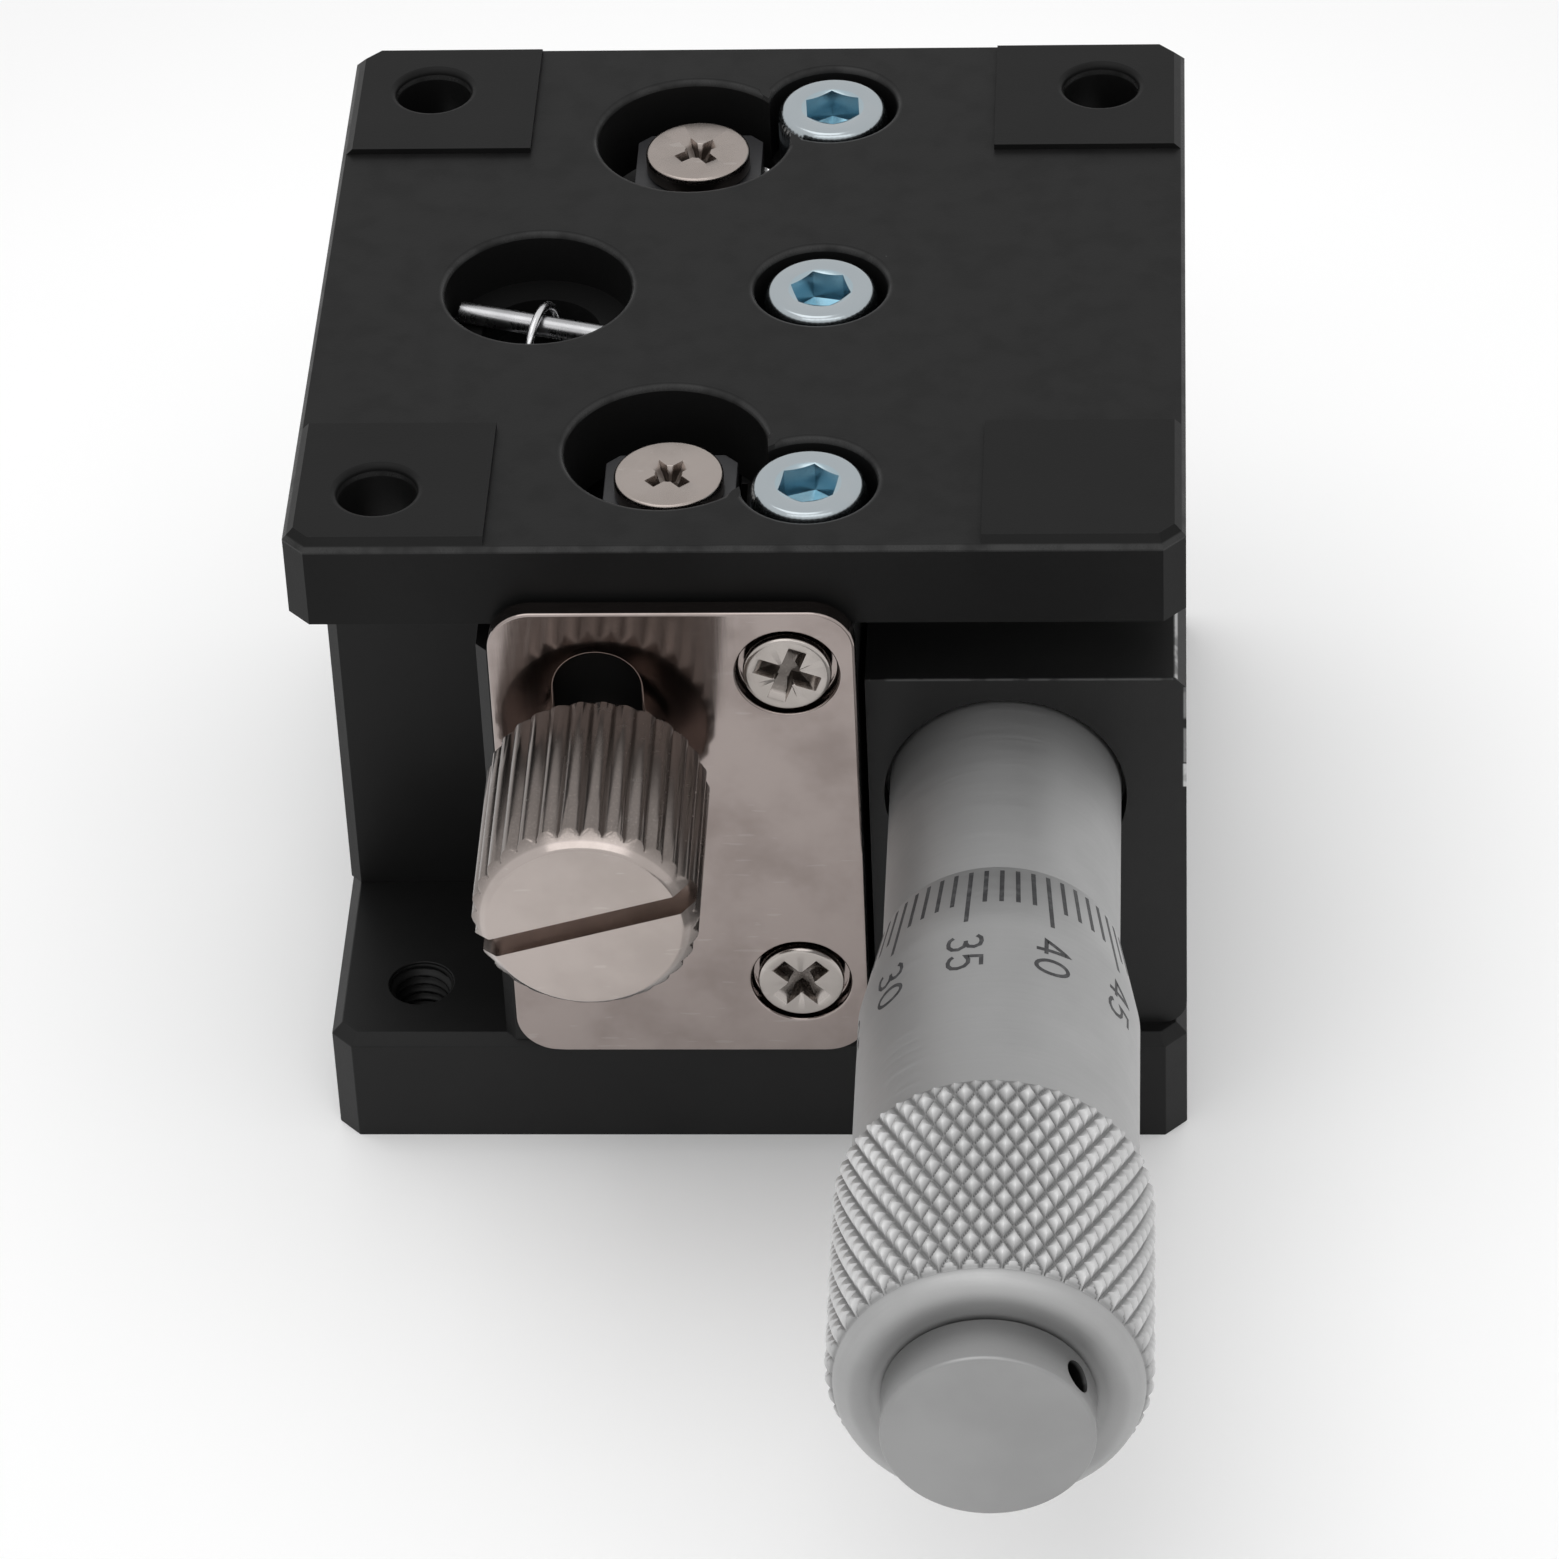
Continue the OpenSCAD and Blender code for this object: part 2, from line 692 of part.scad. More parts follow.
module clamp_plate() {
  color(nickel) translate([0, -carriage_front, 0]) along_mic() difference() {
    linear_extrude(clamp_t) difference() {
      round_rect([clamp_x0, clamp_z0], [clamp_x0 + clamp_w, clamp_z1], clamp_r);
      translate([knob_x, 0]) slot_outline(slot_w, slot_low_z, slot_top_z);
    }
    for (z = clamp_screw_z)
      translate([clamp_screw_x, z]) {
        rod(m25_r + fit_r, -cut, clamp_t + cut);
        rod(clamp_sink_r, clamp_t - clamp_head_h, clamp_t + cut);
      }
  }
}

module clamp_plate_screws() {
  color(nickel) for (z = clamp_screw_z)
    translate([clamp_screw_x, -carriage_front - clamp_t + clamp_head_h, z]) along_mic()
      rotate([0, 0, 20]) difference() {
        union() {
          rod(clamp_head_r, 0, clamp_head_h);
          rod(m25_r, clamp_head_h - clamp_t - clamp_screw_len, cut);
        }
        translate([0, 0, clamp_head_h]) cross_recess(clamp_head_r * 0.6, clamp_head_h * 0.8);
      }
}

// Half of a coil's turn: half a ring, tilted so that its ends stand half a pitch apart
module half_turn(tilt) {
  rotate([0, tilt, 0]) rotate([0, 0, tilt > 0 ? 0 : 180]) rotate_extrude(angle = 180)
    translate([spring_coil_r / cos(tilt), 0]) circle(r = spring_wire_r);
}

// Loop of the spring's end over its cross pin, from the last coil up and over
module spring_loop() {
  rotate([90, 0, 0]) rotate([0, 0, -spring_loop_over])
    rotate_extrude(angle = spring_loop_turn) translate([spring_coil_r, 0])
      circle(r = spring_wire_r);
}

module spring() {
  reach = spring_coil_r - spring_pin_r - spring_wire_r - fit_r;
  z0 = spring_low_z + reach;
  z1 = spring_pin_z - reach;
  half_pitch = (z1 - z0) / spring_turns / 2;
  tilt = atan(half_pitch / spring_coil_r / 2);
  color(steel) translate([spring_x, 0, 0]) rotate([0, 0, spring_pin_turn + 90]) {
    for (i = [0 : 2 * spring_turns - 1])
      translate([0, 0, z0 + (i + 0.5) * half_pitch]) half_turn(i % 2 == 0 ? tilt : -tilt);
    translate([0, 0, z1]) spring_loop();
    translate([0, 0, z0]) mirror([0, 0, 1]) spring_loop();
  }
}

roller_z = [for (i = [0 : roller_count - 1])
  cage_mid_z + (i - (roller_count - 1) / 2) * roller_pitch];

module cage() {
  color(brass_tint) difference() {
    translate([guide_x, roller_y, cage_mid_z])
      cube([cage_w, cage_t, cage_len], center = true);
    for (z = roller_z) translate([guide_x, roller_y, z])
      cube([cage_window[0], cage_t + 2 * cut, cage_window[1]], center = true);
  }
}

// Rollers, each turned a quarter from its neighbour
module rollers() {
  color(steel) for (i = [0 : roller_count - 1])
    translate([guide_x, roller_y, roller_z[i]]) rotate([90, 0, i % 2 == 0 ? 45 : -45])
      cylinder(d = roller_d, h = roller_len, center = true);
}

module cage_front() { front() cage(); }

module cage_back() { cage(); }

module rollers_front() { front() rollers(); }

module rollers_back() { rollers(); }

module spindle() {
  color(steel) translate([mic_x, 0, mic_z]) along_mic() {
    rod(spindle_d / 2, spindle_tip + spindle_nose_len, spindle_end);
    rod(spindle_nose_r, spindle_tip, spindle_tip + spindle_nose_len + cut);
  }
}

module thimble() {
  color(chrome) translate([mic_x, 0, mic_z]) along_mic() rotate_extrude() difference() {
    union() {
      polygon([
        [0, thimble_start], [sleeve_d / 2 + thimble_rim, thimble_start],
        [thimble_d / 2, thimble_full], [thimble_d / 2, grip_start],
        [grip_d / 2 - edge_c / 2, grip_start], [grip_d / 2, grip_start + edge_c / 2],
        [grip_d / 2, thimble_end - shoulder_r], [grip_d / 2 - shoulder_r, thimble_end],
        [0, thimble_end]
      ]);
      intersection() {
        translate([grip_d / 2 - shoulder_r, thimble_end - shoulder_r]) circle(r = shoulder_r);
        translate([grip_d / 2 - shoulder_r, thimble_end - shoulder_r]) square(shoulder_r);
      }
    }
    square([spindle_d / 2 + run_r, thimble_end + cut]);
    square([sleeve_d / 2 + run_r, thimble_hollow_end]);
  }
}

module thimble_cap() {
  color(chrome) translate([mic_x, 0, mic_z]) difference() {
    along_mic() rotate_extrude() polygon([
      [0, thimble_end], [cap_d / 2, thimble_end], [cap_d / 2, cap_end - cap_c],
      [cap_d / 2 - cap_c, cap_end], [0, cap_end]
    ]);
    rotate([0, -spanner_angle, 0]) translate([cap_d / 4, -spanner_at, 0])
      rotate([0, 90, 0]) cylinder(r = spanner_r, h = cap_d);
  }
}

// Arm of the bell crank, from the pivot out to the seat of its contact pin
module arm_outline() {
  difference() {
    union() {
      polygon([
        [0, -lever_root_r], [lever_arm, -lever_tip_r], [lever_arm, lever_tip_r],
        [0, lever_root_r]
      ]);
      translate([lever_arm, 0]) circle(r = lever_seat_r);
    }
    translate([lever_arm, 0]) circle(r = contact_r + fit_r);
    translate([lever_arm - lever_seat_r, lever_lip])
      square([2 * lever_seat_r + cut, lever_seat_r]);
  }
}

// Carries children from the bell crank's own YZ outline to its place
module on_lever(x) {
  translate([x[0], lever_y, lever_z]) along_x()
    rotate(lever_tilt) linear_extrude(x[1] - x[0]) children();
}

module lever() {
  color(steel) difference() {
    union() {
      on_lever(hub_x) circle(r = lever_hub_r);
      on_lever(lift_x) mirror([1, 0]) arm_outline();
      on_lever(push_x) rotate(90) arm_outline();
    }
    on_lever(hub_x + [-cut, cut]) circle(r = lever_pin_r + run_r);
  }
}

module lever_push_pin() {
  color(dark_steel) on_lever(push_x) translate([0, lever_arm]) circle(r = contact_r);
}

module lever_lift_pin() {
  color(dark_steel) on_lever(lift_x) translate([-lever_arm, 0]) circle(r = contact_r);
}

module clamp_stud() {
  color(nickel) translate([knob_x, 0, knob_z]) along_mic() {
    rod(m3_r, stud_end, knob_back + stud_in_knob);
    rod(collar_r, clamp_front + part_gap, knob_back - part_gap);
  }
}

module clamp_knob() {
  color(nickel) translate([knob_x, 0, knob_z]) along_mic() difference() {
    union() {
      translate([0, 0, knob_back + knob_bevel / 2]) linear_extrude(knob_len - knob_bevel)
        polygon(toothed(knob_d / 2, knob_tooth_h + fit_r, knob_teeth));
      rotate_extrude() polygon([
        [0, knob_back], [knob_root_r - knob_bevel / 2, knob_back],
        [knob_root_r, knob_back + knob_bevel / 2], [knob_root_r, knob_front - knob_bevel / 2],
        [knob_root_r - knob_bevel / 2, knob_front], [0, knob_front]
      ]);
    }
    rod(m3_r + run_r, knob_back - cut, knob_back + stud_in_knob + part_gap);
    rotate([0, 0, knob_slot_turn])
      translate([-knob_d, -knob_slot_w / 2, knob_front - knob_slot_depth])
        cube([2 * knob_d, knob_slot_w, knob_slot_depth + cut]);
  }
}

base_plate();
column();
column_screws();
outer_rail_front();
outer_rail_back();
outer_rail_screws();
rail_end_screws();
micrometer_block();
block_screws();
block_set_screw();
sleeve();
lever_pin();
spring_pin_lower();
platform();
platform_screws();
carriage();
inner_rail_front();
inner_rail_back();
inner_rail_screws();
clamp_plate();
clamp_plate_screws();
spring_pin_upper();
spring();
cage_front();
rollers_front();
cage_back();
rollers_back();
spindle();
thimble();
thimble_cap();
lever();
lever_push_pin();
lever_lift_pin();
clamp_stud();
clamp_knob();
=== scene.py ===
"""Visual model of a small vertical lift stage with a horizontal micrometer.

Sizes are in millimetres in the stage's own frame: the origin is the centre of the base's
underside, +Z is up, +Y runs away from the micrometer and +X is to the user's right.
"""

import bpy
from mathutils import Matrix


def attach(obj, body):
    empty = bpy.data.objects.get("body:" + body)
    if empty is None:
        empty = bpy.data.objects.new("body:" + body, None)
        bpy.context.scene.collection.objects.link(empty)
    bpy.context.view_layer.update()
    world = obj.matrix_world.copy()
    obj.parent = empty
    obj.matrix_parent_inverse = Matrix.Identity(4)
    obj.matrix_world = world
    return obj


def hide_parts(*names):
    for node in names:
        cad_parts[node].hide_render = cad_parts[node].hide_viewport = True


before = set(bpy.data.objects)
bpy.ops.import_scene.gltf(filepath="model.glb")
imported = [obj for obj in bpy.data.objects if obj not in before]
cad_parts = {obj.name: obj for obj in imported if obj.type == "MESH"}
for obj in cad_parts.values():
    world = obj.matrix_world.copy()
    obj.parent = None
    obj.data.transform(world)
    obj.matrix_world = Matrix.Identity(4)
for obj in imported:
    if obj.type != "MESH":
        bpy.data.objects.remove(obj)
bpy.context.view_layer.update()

import logging
import math
from dataclasses import dataclass
from enum import Enum
from typing import Callable, Iterable, Sequence, Union

import bmesh
import bpy
import numpy as np
from mathutils import Matrix, Vector
from numpy.typing import NDArray

logging.basicConfig(level=logging.INFO, format="%(message)s")
log = logging.getLogger("lift_stage")

MM = 0.001
TAU = 2.0 * math.pi
Points = NDArray[np.float64]
Colour = tuple[float, float, float]
Number = Union[int, float]


def grey(level: float) -> Colour:
    """A colour with three equal channels."""
    return (level, level, level)


# -------------------- surfaces


@dataclass
class Patch:
    """A piece of surface: points in millimetres and faces as lists of point numbers."""

    points: Points
    faces: list[list[int]]

    def moved(self, matrix: Points, offset: Sequence[float] = (0, 0, 0)) -> "Patch":
        """The patch turned by a 3 x 3 matrix and then shifted."""
        faced = self.points @ np.asarray(matrix, float).T
        return Patch(faced + np.asarray(offset, float), self.faces)

    def shifted(self, x: float = 0, y: float = 0, z: float = 0) -> "Patch":
        """The patch shifted in millimetres."""
        return Patch(self.points + np.array([x, y, z], float), self.faces)

    def mesh(self, name: str) -> bpy.types.Mesh:
        """A new mesh of the patch, in metres."""
        made = bpy.data.meshes.new(name)
        made.from_pydata((self.points * MM).tolist(), [], self.faces)
        return made

    def volume(self) -> float:
        """Signed volume: a sixth of the sum of each fan triangle's a . (b x c)."""
        total = 0.0
        by_size: dict[int, list[list[int]]] = {}
        for face in self.faces:
            by_size.setdefault(len(face), []).append(face)
        for size, group in by_size.items():
            index = np.array(group)
            for k in range(1, size - 1):
                a, b, c = (self.points[index[:, j]] for j in (0, k, k + 1))
                total += float(np.einsum("ij,ij->", a, np.cross(b, c)))
        return total / 6.0

    def outward(self) -> "Patch":
        """The patch with its faces turned outwards, judged by the sign of its volume."""
        if self.volume() < 0:
            return Patch(self.points, [face[::-1] for face in self.faces])
        return self


def joined(patches: Iterable[Patch]) -> Patch:
    """One patch from several, with the face numbers of each moved past the earlier ones."""
    points: list[Points] = []
    faces: list[list[int]] = []
    start = 0
    for patch in patches:
        points.append(patch.points)
        faces.extend([[i + start for i in face] for face in patch.faces])
        start += len(patch.points)
    return Patch(np.concatenate(points), faces)


def lofted(rings: Points, capped: bool = True, looped: bool = False) -> Patch:
    """Surface through closed rings.

    Point (i, j) is ring i's point j. Each quad joins two neighbours of ring i to the same
    two of ring i + 1, and each end is closed by a fan round that ring's mean point.

    Args:
        rings: array of ring count x points in a ring x 3.
        capped: whether the first and last ring are closed by fans.
        looped: whether the last ring joins the first, as in a torus.

    Returns:
        The surface with its faces turned outwards.
    """
    rows, cols = rings.shape[:2]
    last = rows if looped else rows - 1
    i, j = np.meshgrid(np.arange(last), np.arange(cols), indexing="ij")
    up, right = (i + 1) % rows, (j + 1) % cols
    quads = np.stack([i * cols + j, i * cols + right, up * cols + right, up * cols + j], -1)
    faces: list[list[int]] = quads.reshape(-1, 4).tolist()
    points = rings.reshape(-1, 3)
    if capped and not looped:
        centres = np.stack([rings[0].mean(0), rings[-1].mean(0)])
        first, second = len(points), len(points) + 1
        points = np.concatenate([points, centres])
        ring = np.arange(cols)
        after = (ring + 1) % cols
        faces += np.stack([after, ring, np.full(cols, first)], -1).tolist()
        top = (rows - 1) * cols
        faces += np.stack([top + ring, top + after, np.full(cols, second)], -1).tolist()
    return Patch(points, faces).outward()


def starred(rings: Iterable[tuple[Union[float, Points], float]], angles: Points,
            capped: bool = True, looped: bool = False) -> Patch:
    """Surface through star-shaped rings about Z: (r(a) cos a, r(a) sin a, z) per ring (r, z)."""
    stack = []
    for radius, height in rings:
        r, z = (np.broadcast_to(np.asarray(v, float), angles.shape) for v in (radius, height))
        stack.append(np.stack([r * np.cos(angles), r * np.sin(angles), z], -1))
    return lofted(np.stack(stack), capped, looped)


def turned(profile: Sequence[tuple[float, float]], segments: int = 96, capped: bool = True,
           looped: bool = False) -> Patch:
    """Surface of revolution about Z: (r cos a, r sin a, z) for each profile point (r, z)."""
    return starred(profile, around(segments), capped, looped)


def around(steps: int) -> Points:
    """That many even angles from 0 to a full turn."""
    return np.arange(steps) * TAU / steps


ALONG_MINUS_Y = np.array([[1, 0, 0], [0, 0, -1], [0, 1, 0]], float)


def spun(angle: float) -> Points:
    """Matrix that turns about Z by an angle in degrees."""
    c, s = math.cos(math.radians(angle)), math.sin(math.radians(angle))
    return np.array([[c, -s, 0], [s, c, 0], [0, 0, 1]])


# -------------------- shader expressions


class Value:
    """A socket's value in a material, with arithmetic that adds Math nodes."""

    def __init__(self, graph: "Graph", socket: bpy.types.NodeSocket) -> None:
        """Wraps an output socket of the graph."""
        self.graph = graph
        self.socket = socket

    def _math(self, operation: str, *others: Union["Value", Number]) -> "Value":
        """A Math node on this value and others."""
        return self.graph.node("ShaderNodeMath", {"operation": operation},
                               dict(enumerate([self, *others])))

    def __add__(self, other: Union["Value", Number]) -> "Value":
        """Sum."""
        return self._math("ADD", other)

    __radd__ = __add__

    def __sub__(self, other: Union["Value", Number]) -> "Value":
        """Difference."""
        return self._math("SUBTRACT", other)

    def __mul__(self, other: Union["Value", Number]) -> "Value":
        """Product."""
        return self._math("MULTIPLY", other)

    def below(self, limit: Number) -> "Value":
        """One where the value is under the limit."""
        return self._math("LESS_THAN", limit)

    def smallest(self, other: Union["Value", Number]) -> "Value":
        """The smaller of two values."""
        return self._math("MINIMUM", other)

    def root(self) -> "Value":
        """Square root."""
        return self._math("SQRT")

    def between(self, low: Number, high: Number, to_low: Number = 0.0, to_high: Number = 1.0
                ) -> "Value":
        """Smooth clamped change from to_low to to_high as the value goes from low to high."""
        return self.graph.node("ShaderNodeMapRange", {"interpolation_type": "SMOOTHSTEP"},
                               {"Value": self, "From Min": low, "From Max": high,
                                "To Min": to_low, "To Max": to_high})


Socketed = Union[Value, Number, Sequence[float]]


class Graph:
    """Node tree of one material, with its surface shader."""

    def __init__(self, name: str) -> None:
        """Starts an empty material of that name."""
        self.material = bpy.data.materials.new(f"{name}_finish")
        self.material.use_nodes = True
        self.tree = self.material.node_tree
        self.tree.nodes.clear()
        self.place = self.node("ShaderNodeTexCoord", output="Object")

    def node(self, kind: str, settings: Union[dict, None] = None,
             inputs: Union[dict, None] = None, output: Union[int, str] = 0) -> Value:
        """Adds a node.

        Args:
            kind: the node's type.
            settings: its properties, set before its sockets.
            inputs: values or links, by socket name or number.
            output: the output that is returned.

        Returns:
            The chosen output.
        """
        made = self.tree.nodes.new(kind)
        for key, value in (settings or {}).items():
            setattr(made, key, value)
        for key, value in (inputs or {}).items():
            socket = made.inputs[key]
            if isinstance(value, Value):
                self.tree.links.new(value.socket, socket)
            elif isinstance(value, (int, float)):
                socket.default_value = value
            else:
                wide = len(socket.default_value)
                socket.default_value = tuple(value)[:wide] if len(value) >= wide \
                    else (*value, *([1.0] * (wide - len(value))))
        return Value(self, made.outputs[output])

    def part(self, axis: str) -> Value:
        """One object coordinate in millimetres."""
        return self.node("ShaderNodeSeparateXYZ", None, {0: self.place}, axis) * (1 / MM)

    def noise(self, scale: float, detail: float = 2.0, stretch: Sequence[float] = (1, 1, 1),
              roughness: float = 0.5) -> Value:
        """Noise, with its scale in features per metre along an axis of stretch 1."""
        stretched = self.node("ShaderNodeVectorMath", {"operation": "MULTIPLY"},
                              {0: self.place, 1: stretch})
        return self.node("ShaderNodeTexNoise", None,
                         {"Vector": stretched, "Scale": scale, "Detail": detail,
                          "Roughness": roughness}, "Fac")

    def specks(self, scale: float, size: float, share: float) -> Value:
        """Scattered round specks: cells whose random value is under share, near their centre."""
        cell = {"Vector": self.place, "Scale": scale}
        near = self.node("ShaderNodeTexVoronoi", None, cell, "Distance")
        tint = self.node("ShaderNodeTexVoronoi", None, cell, "Color")
        pick = self.node("ShaderNodeSeparateColor", None, {0: tint}, "Red")
        return near.between(size * 0.6, size, 1, 0) * pick.below(share)

    def away(self, axes: str, centre: Sequence[float]) -> Value:
        """Distance in millimetres from a point in the plane of two axes."""
        a, b = (self.part(axis) - middle for axis, middle in zip(axes, centre))
        return (a * a + b * b).root()

    def mixed(self, factor: Union[Value, Number], first: Union[Value, Colour],
              second: Union[Value, Colour]) -> Value:
        """Colour mix."""
        return self.node("ShaderNodeMix", {"data_type": "RGBA"},
                         {0: factor, 6: first, 7: second}, 2)

    def bump(self, height: Value, depth: float) -> Value:
        """Bump normal, with depth in millimetres for a height of one."""
        return self.node("ShaderNodeBump", None,
                         {"Height": height, "Strength": 1.0, "Distance": depth * MM}, "Normal")

    def finish(self, **sockets: Socketed) -> bpy.types.Material:
        """Closes the material with a Principled shader that has these sockets."""
        names = {key: key.replace("_", " ").title().replace("Ior", "IOR") for key in sockets}
        shader = self.node("ShaderNodeBsdfPrincipled", None,
                           {names[key]: value for key, value in sockets.items()}, "BSDF")
        out = self.tree.nodes.new("ShaderNodeOutputMaterial")
        self.tree.links.new(shader.socket, out.inputs["Surface"])
        return self.material


# -------------------- finishes


class Slot(Enum):
    """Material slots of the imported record."""

    BLACK = "black_anodised"
    RAIL = "rail_steel"
    ZINC = "zinc_screw"
    NICKEL = "nickel_plate"
    CHROME = "satin_chrome"
    BRIGHT = "bright_steel"
    BLACK_STEEL = "black_steel"


@dataclass(frozen=True)
class Anodised:
    """Black anodised aluminium: fine blasted grain, faint cutter lines and a little dust."""

    name: str = "black_anodised"
    slot: Slot = Slot.BLACK
    colour: Colour = grey(0.0065)
    faded: Colour = grey(0.011)
    roughness: float = 0.42
    grain: float = 0.0035
    dust: float = 0.007
    shine: float = 0.2
    dusty: Colour = grey(0.16)
    rubbed: Colour = grey(0.034)
    metal: Colour = grey(0.6)
    bare: Sequence[tuple[tuple[float, float], ...]] = ()
    rims: Union[tuple[float, float], None] = None

    def make(self) -> bpy.types.Material:
        """Builds the material.

        Each edge of uncoated metal is its range along x, y and z, and its share where the noise is
        low and high; these edges are partly edge wear and partly painted highlights where the
        block's edges catch light. Rims are the heights between which a band round the platform's
        top edges is painted lighter
        and smoother: partly wear, partly a painted highlight.
        """
        g = Graph(self.name)
        cloud = g.noise(160, 3)
        fine = g.noise(9000, 2)
        lines = g.noise(1500, 2, (0.02, 1, 1))
        dust = g.specks(420, 0.035, self.dust)
        lint = g.specks(1300, 0.05, self.dust)
        tint = g.mixed(cloud.between(0.35, 0.7) * 0.35, self.colour, self.faded)
        tint = g.mixed((dust + lint * 0.4).smallest(1), tint, self.dusty)
        rough = self.roughness + (cloud - 0.5) * 0.1 + (fine - 0.5) * 0.12 + (lines - 0.5) * 0.05
        normal = g.bump(fine + lines * 0.25, self.grain)
        # Painted highlight, partly wear: a band at the platform's top, round its hole rims and
        # edges, is painted lighter and smoother.
        if self.rims is not None:
            z = g.part("Z")
            wear_and_highlight = z.between(self.rims[0] - 0.05, self.rims[0]) \
                * z.between(self.rims[1] + 0.02, self.rims[1] - 0.06) \
                * g.noise(700, 3).between(0.3, 0.6, 0.4, 1.0)
            tint = g.mixed(wear_and_highlight, tint, self.rubbed)
            rough = rough - wear_and_highlight * 0.14
        # Painted highlights, partly edge wear: uncoated metal is painted along the block's edges
        # where they catch light.
        bare: Union[Value, Number] = 0.0
        for *ranges, shares in self.bare:
            wear_and_highlight = g.noise(900, 2).between(0.36, 0.5, *shares)
            for axis, (low, high) in zip("XYZ", ranges):
                wear_and_highlight = wear_and_highlight * g.part(axis).between(low - 0.05, low + 0.03) \
                    * g.part(axis).between(high + 0.05, high - 0.03)
            tint = g.mixed(wear_and_highlight, tint, self.metal)
            bare = wear_and_highlight + bare
        return g.finish(base_color=tint, metallic=bare, roughness=rough, normal=normal,
                        specular_ior_level=self.shine)


@dataclass(frozen=True)
class TurnedMetal:
    """Plated turned metal: even satin grain with hairlines round the micrometer's axis."""

    name: str = "satin_chrome"
    slot: Slot = Slot.CHROME
    colour: Colour = grey(0.45)
    shade: Colour = grey(0.395)
    roughness: float = 0.58
    grain: float = 0.0016
    grimy: Colour = grey(0.2)
    crest: Colour = grey(0.78)
    shadow: Colour = grey(0.03)
    lines: Sequence[float] = (0.04, 1, 0.04)
    axis: tuple[float, float] = (11.8, 19.7)
    grip_end: tuple[float, float] = (-57.3, -57.1)
    groove: tuple[float, float] = (6.3, 6.4)
    groove_top: tuple[float, float] = (6.5, 6.66)
    flank: tuple[float, float] = (6.5, 6.84)
    peak: tuple[float, float] = (6.68, 6.84)
    face: tuple[float, float] = (-57.9, -58.2)
    ring_inside: tuple[float, float] = (4.3, 4.6)
    ring_outside: tuple[float, float] = (6.2, 5.6)
    cap_front: tuple[float, float] = (-60.15, -60.05)
    bored: float = 0.0

    def make(self) -> bpy.types.Material:
        """Builds the material.

        By distance from the axis and along it, the knurl's crests are painted lighter as a painted
        highlight, its grooves along the grip up to its end and the end face round the cap are
        painted darker as painted shade, and the inside of a bored cap, round its spanner hole, is
        painted dark as painted shadow.
        """
        g = Graph(self.name)
        cloud = g.noise(260, 3)
        fine = g.noise(12000, 2)
        hair = g.noise(5200, 3, self.lines, 0.7)
        marks = g.specks(330, 0.03, 0.008)
        tint = g.mixed(cloud.between(0.3, 0.75) * 0.6, self.colour, self.shade)
        tint = g.mixed(marks, tint, self.grimy)
        away = g.away("XZ", self.axis)
        grip = g.part("Y").between(*self.grip_end)
        # Painted shade: the knurl's grooves along the grip, up to its end, are painted darker.
        groove = away.between(*self.groove) * away.between(*self.groove_top, 0.55, 0)
        tint = g.mixed(groove * grip, tint, self.grimy)
        # Painted highlight: the knurl's flanks and crests are painted lighter, toward the crest
        # colour.
        crest = away.between(*self.flank) * (0.3 + away.between(*self.peak) * 0.35)
        tint = g.mixed(crest, tint, self.crest)
        # Painted shade: the thimble's end face round the cap is painted darker.
        ring = g.part("Y").between(*self.face) * away.between(*self.ring_inside) \
            * away.between(*self.ring_outside)
        tint = g.mixed(ring * 0.4, tint, self.grimy)
        # Painted shadow: the inside of the cap's spanner hole is painted dark.
        if self.bored:
            inside = away.between(self.bored - 0.2, self.bored, 1, 0) \
                * g.part("Y").between(*self.cap_front)
            tint = g.mixed(inside, tint, self.shadow)
        rough = self.roughness + (cloud - 0.5) * 0.12 + (hair - 0.5) * 0.16 + (fine - 0.5) * 0.06
        normal = g.bump(fine * 0.6 + hair, self.grain)
        return g.finish(base_color=tint, metallic=1.0, roughness=rough, normal=normal)


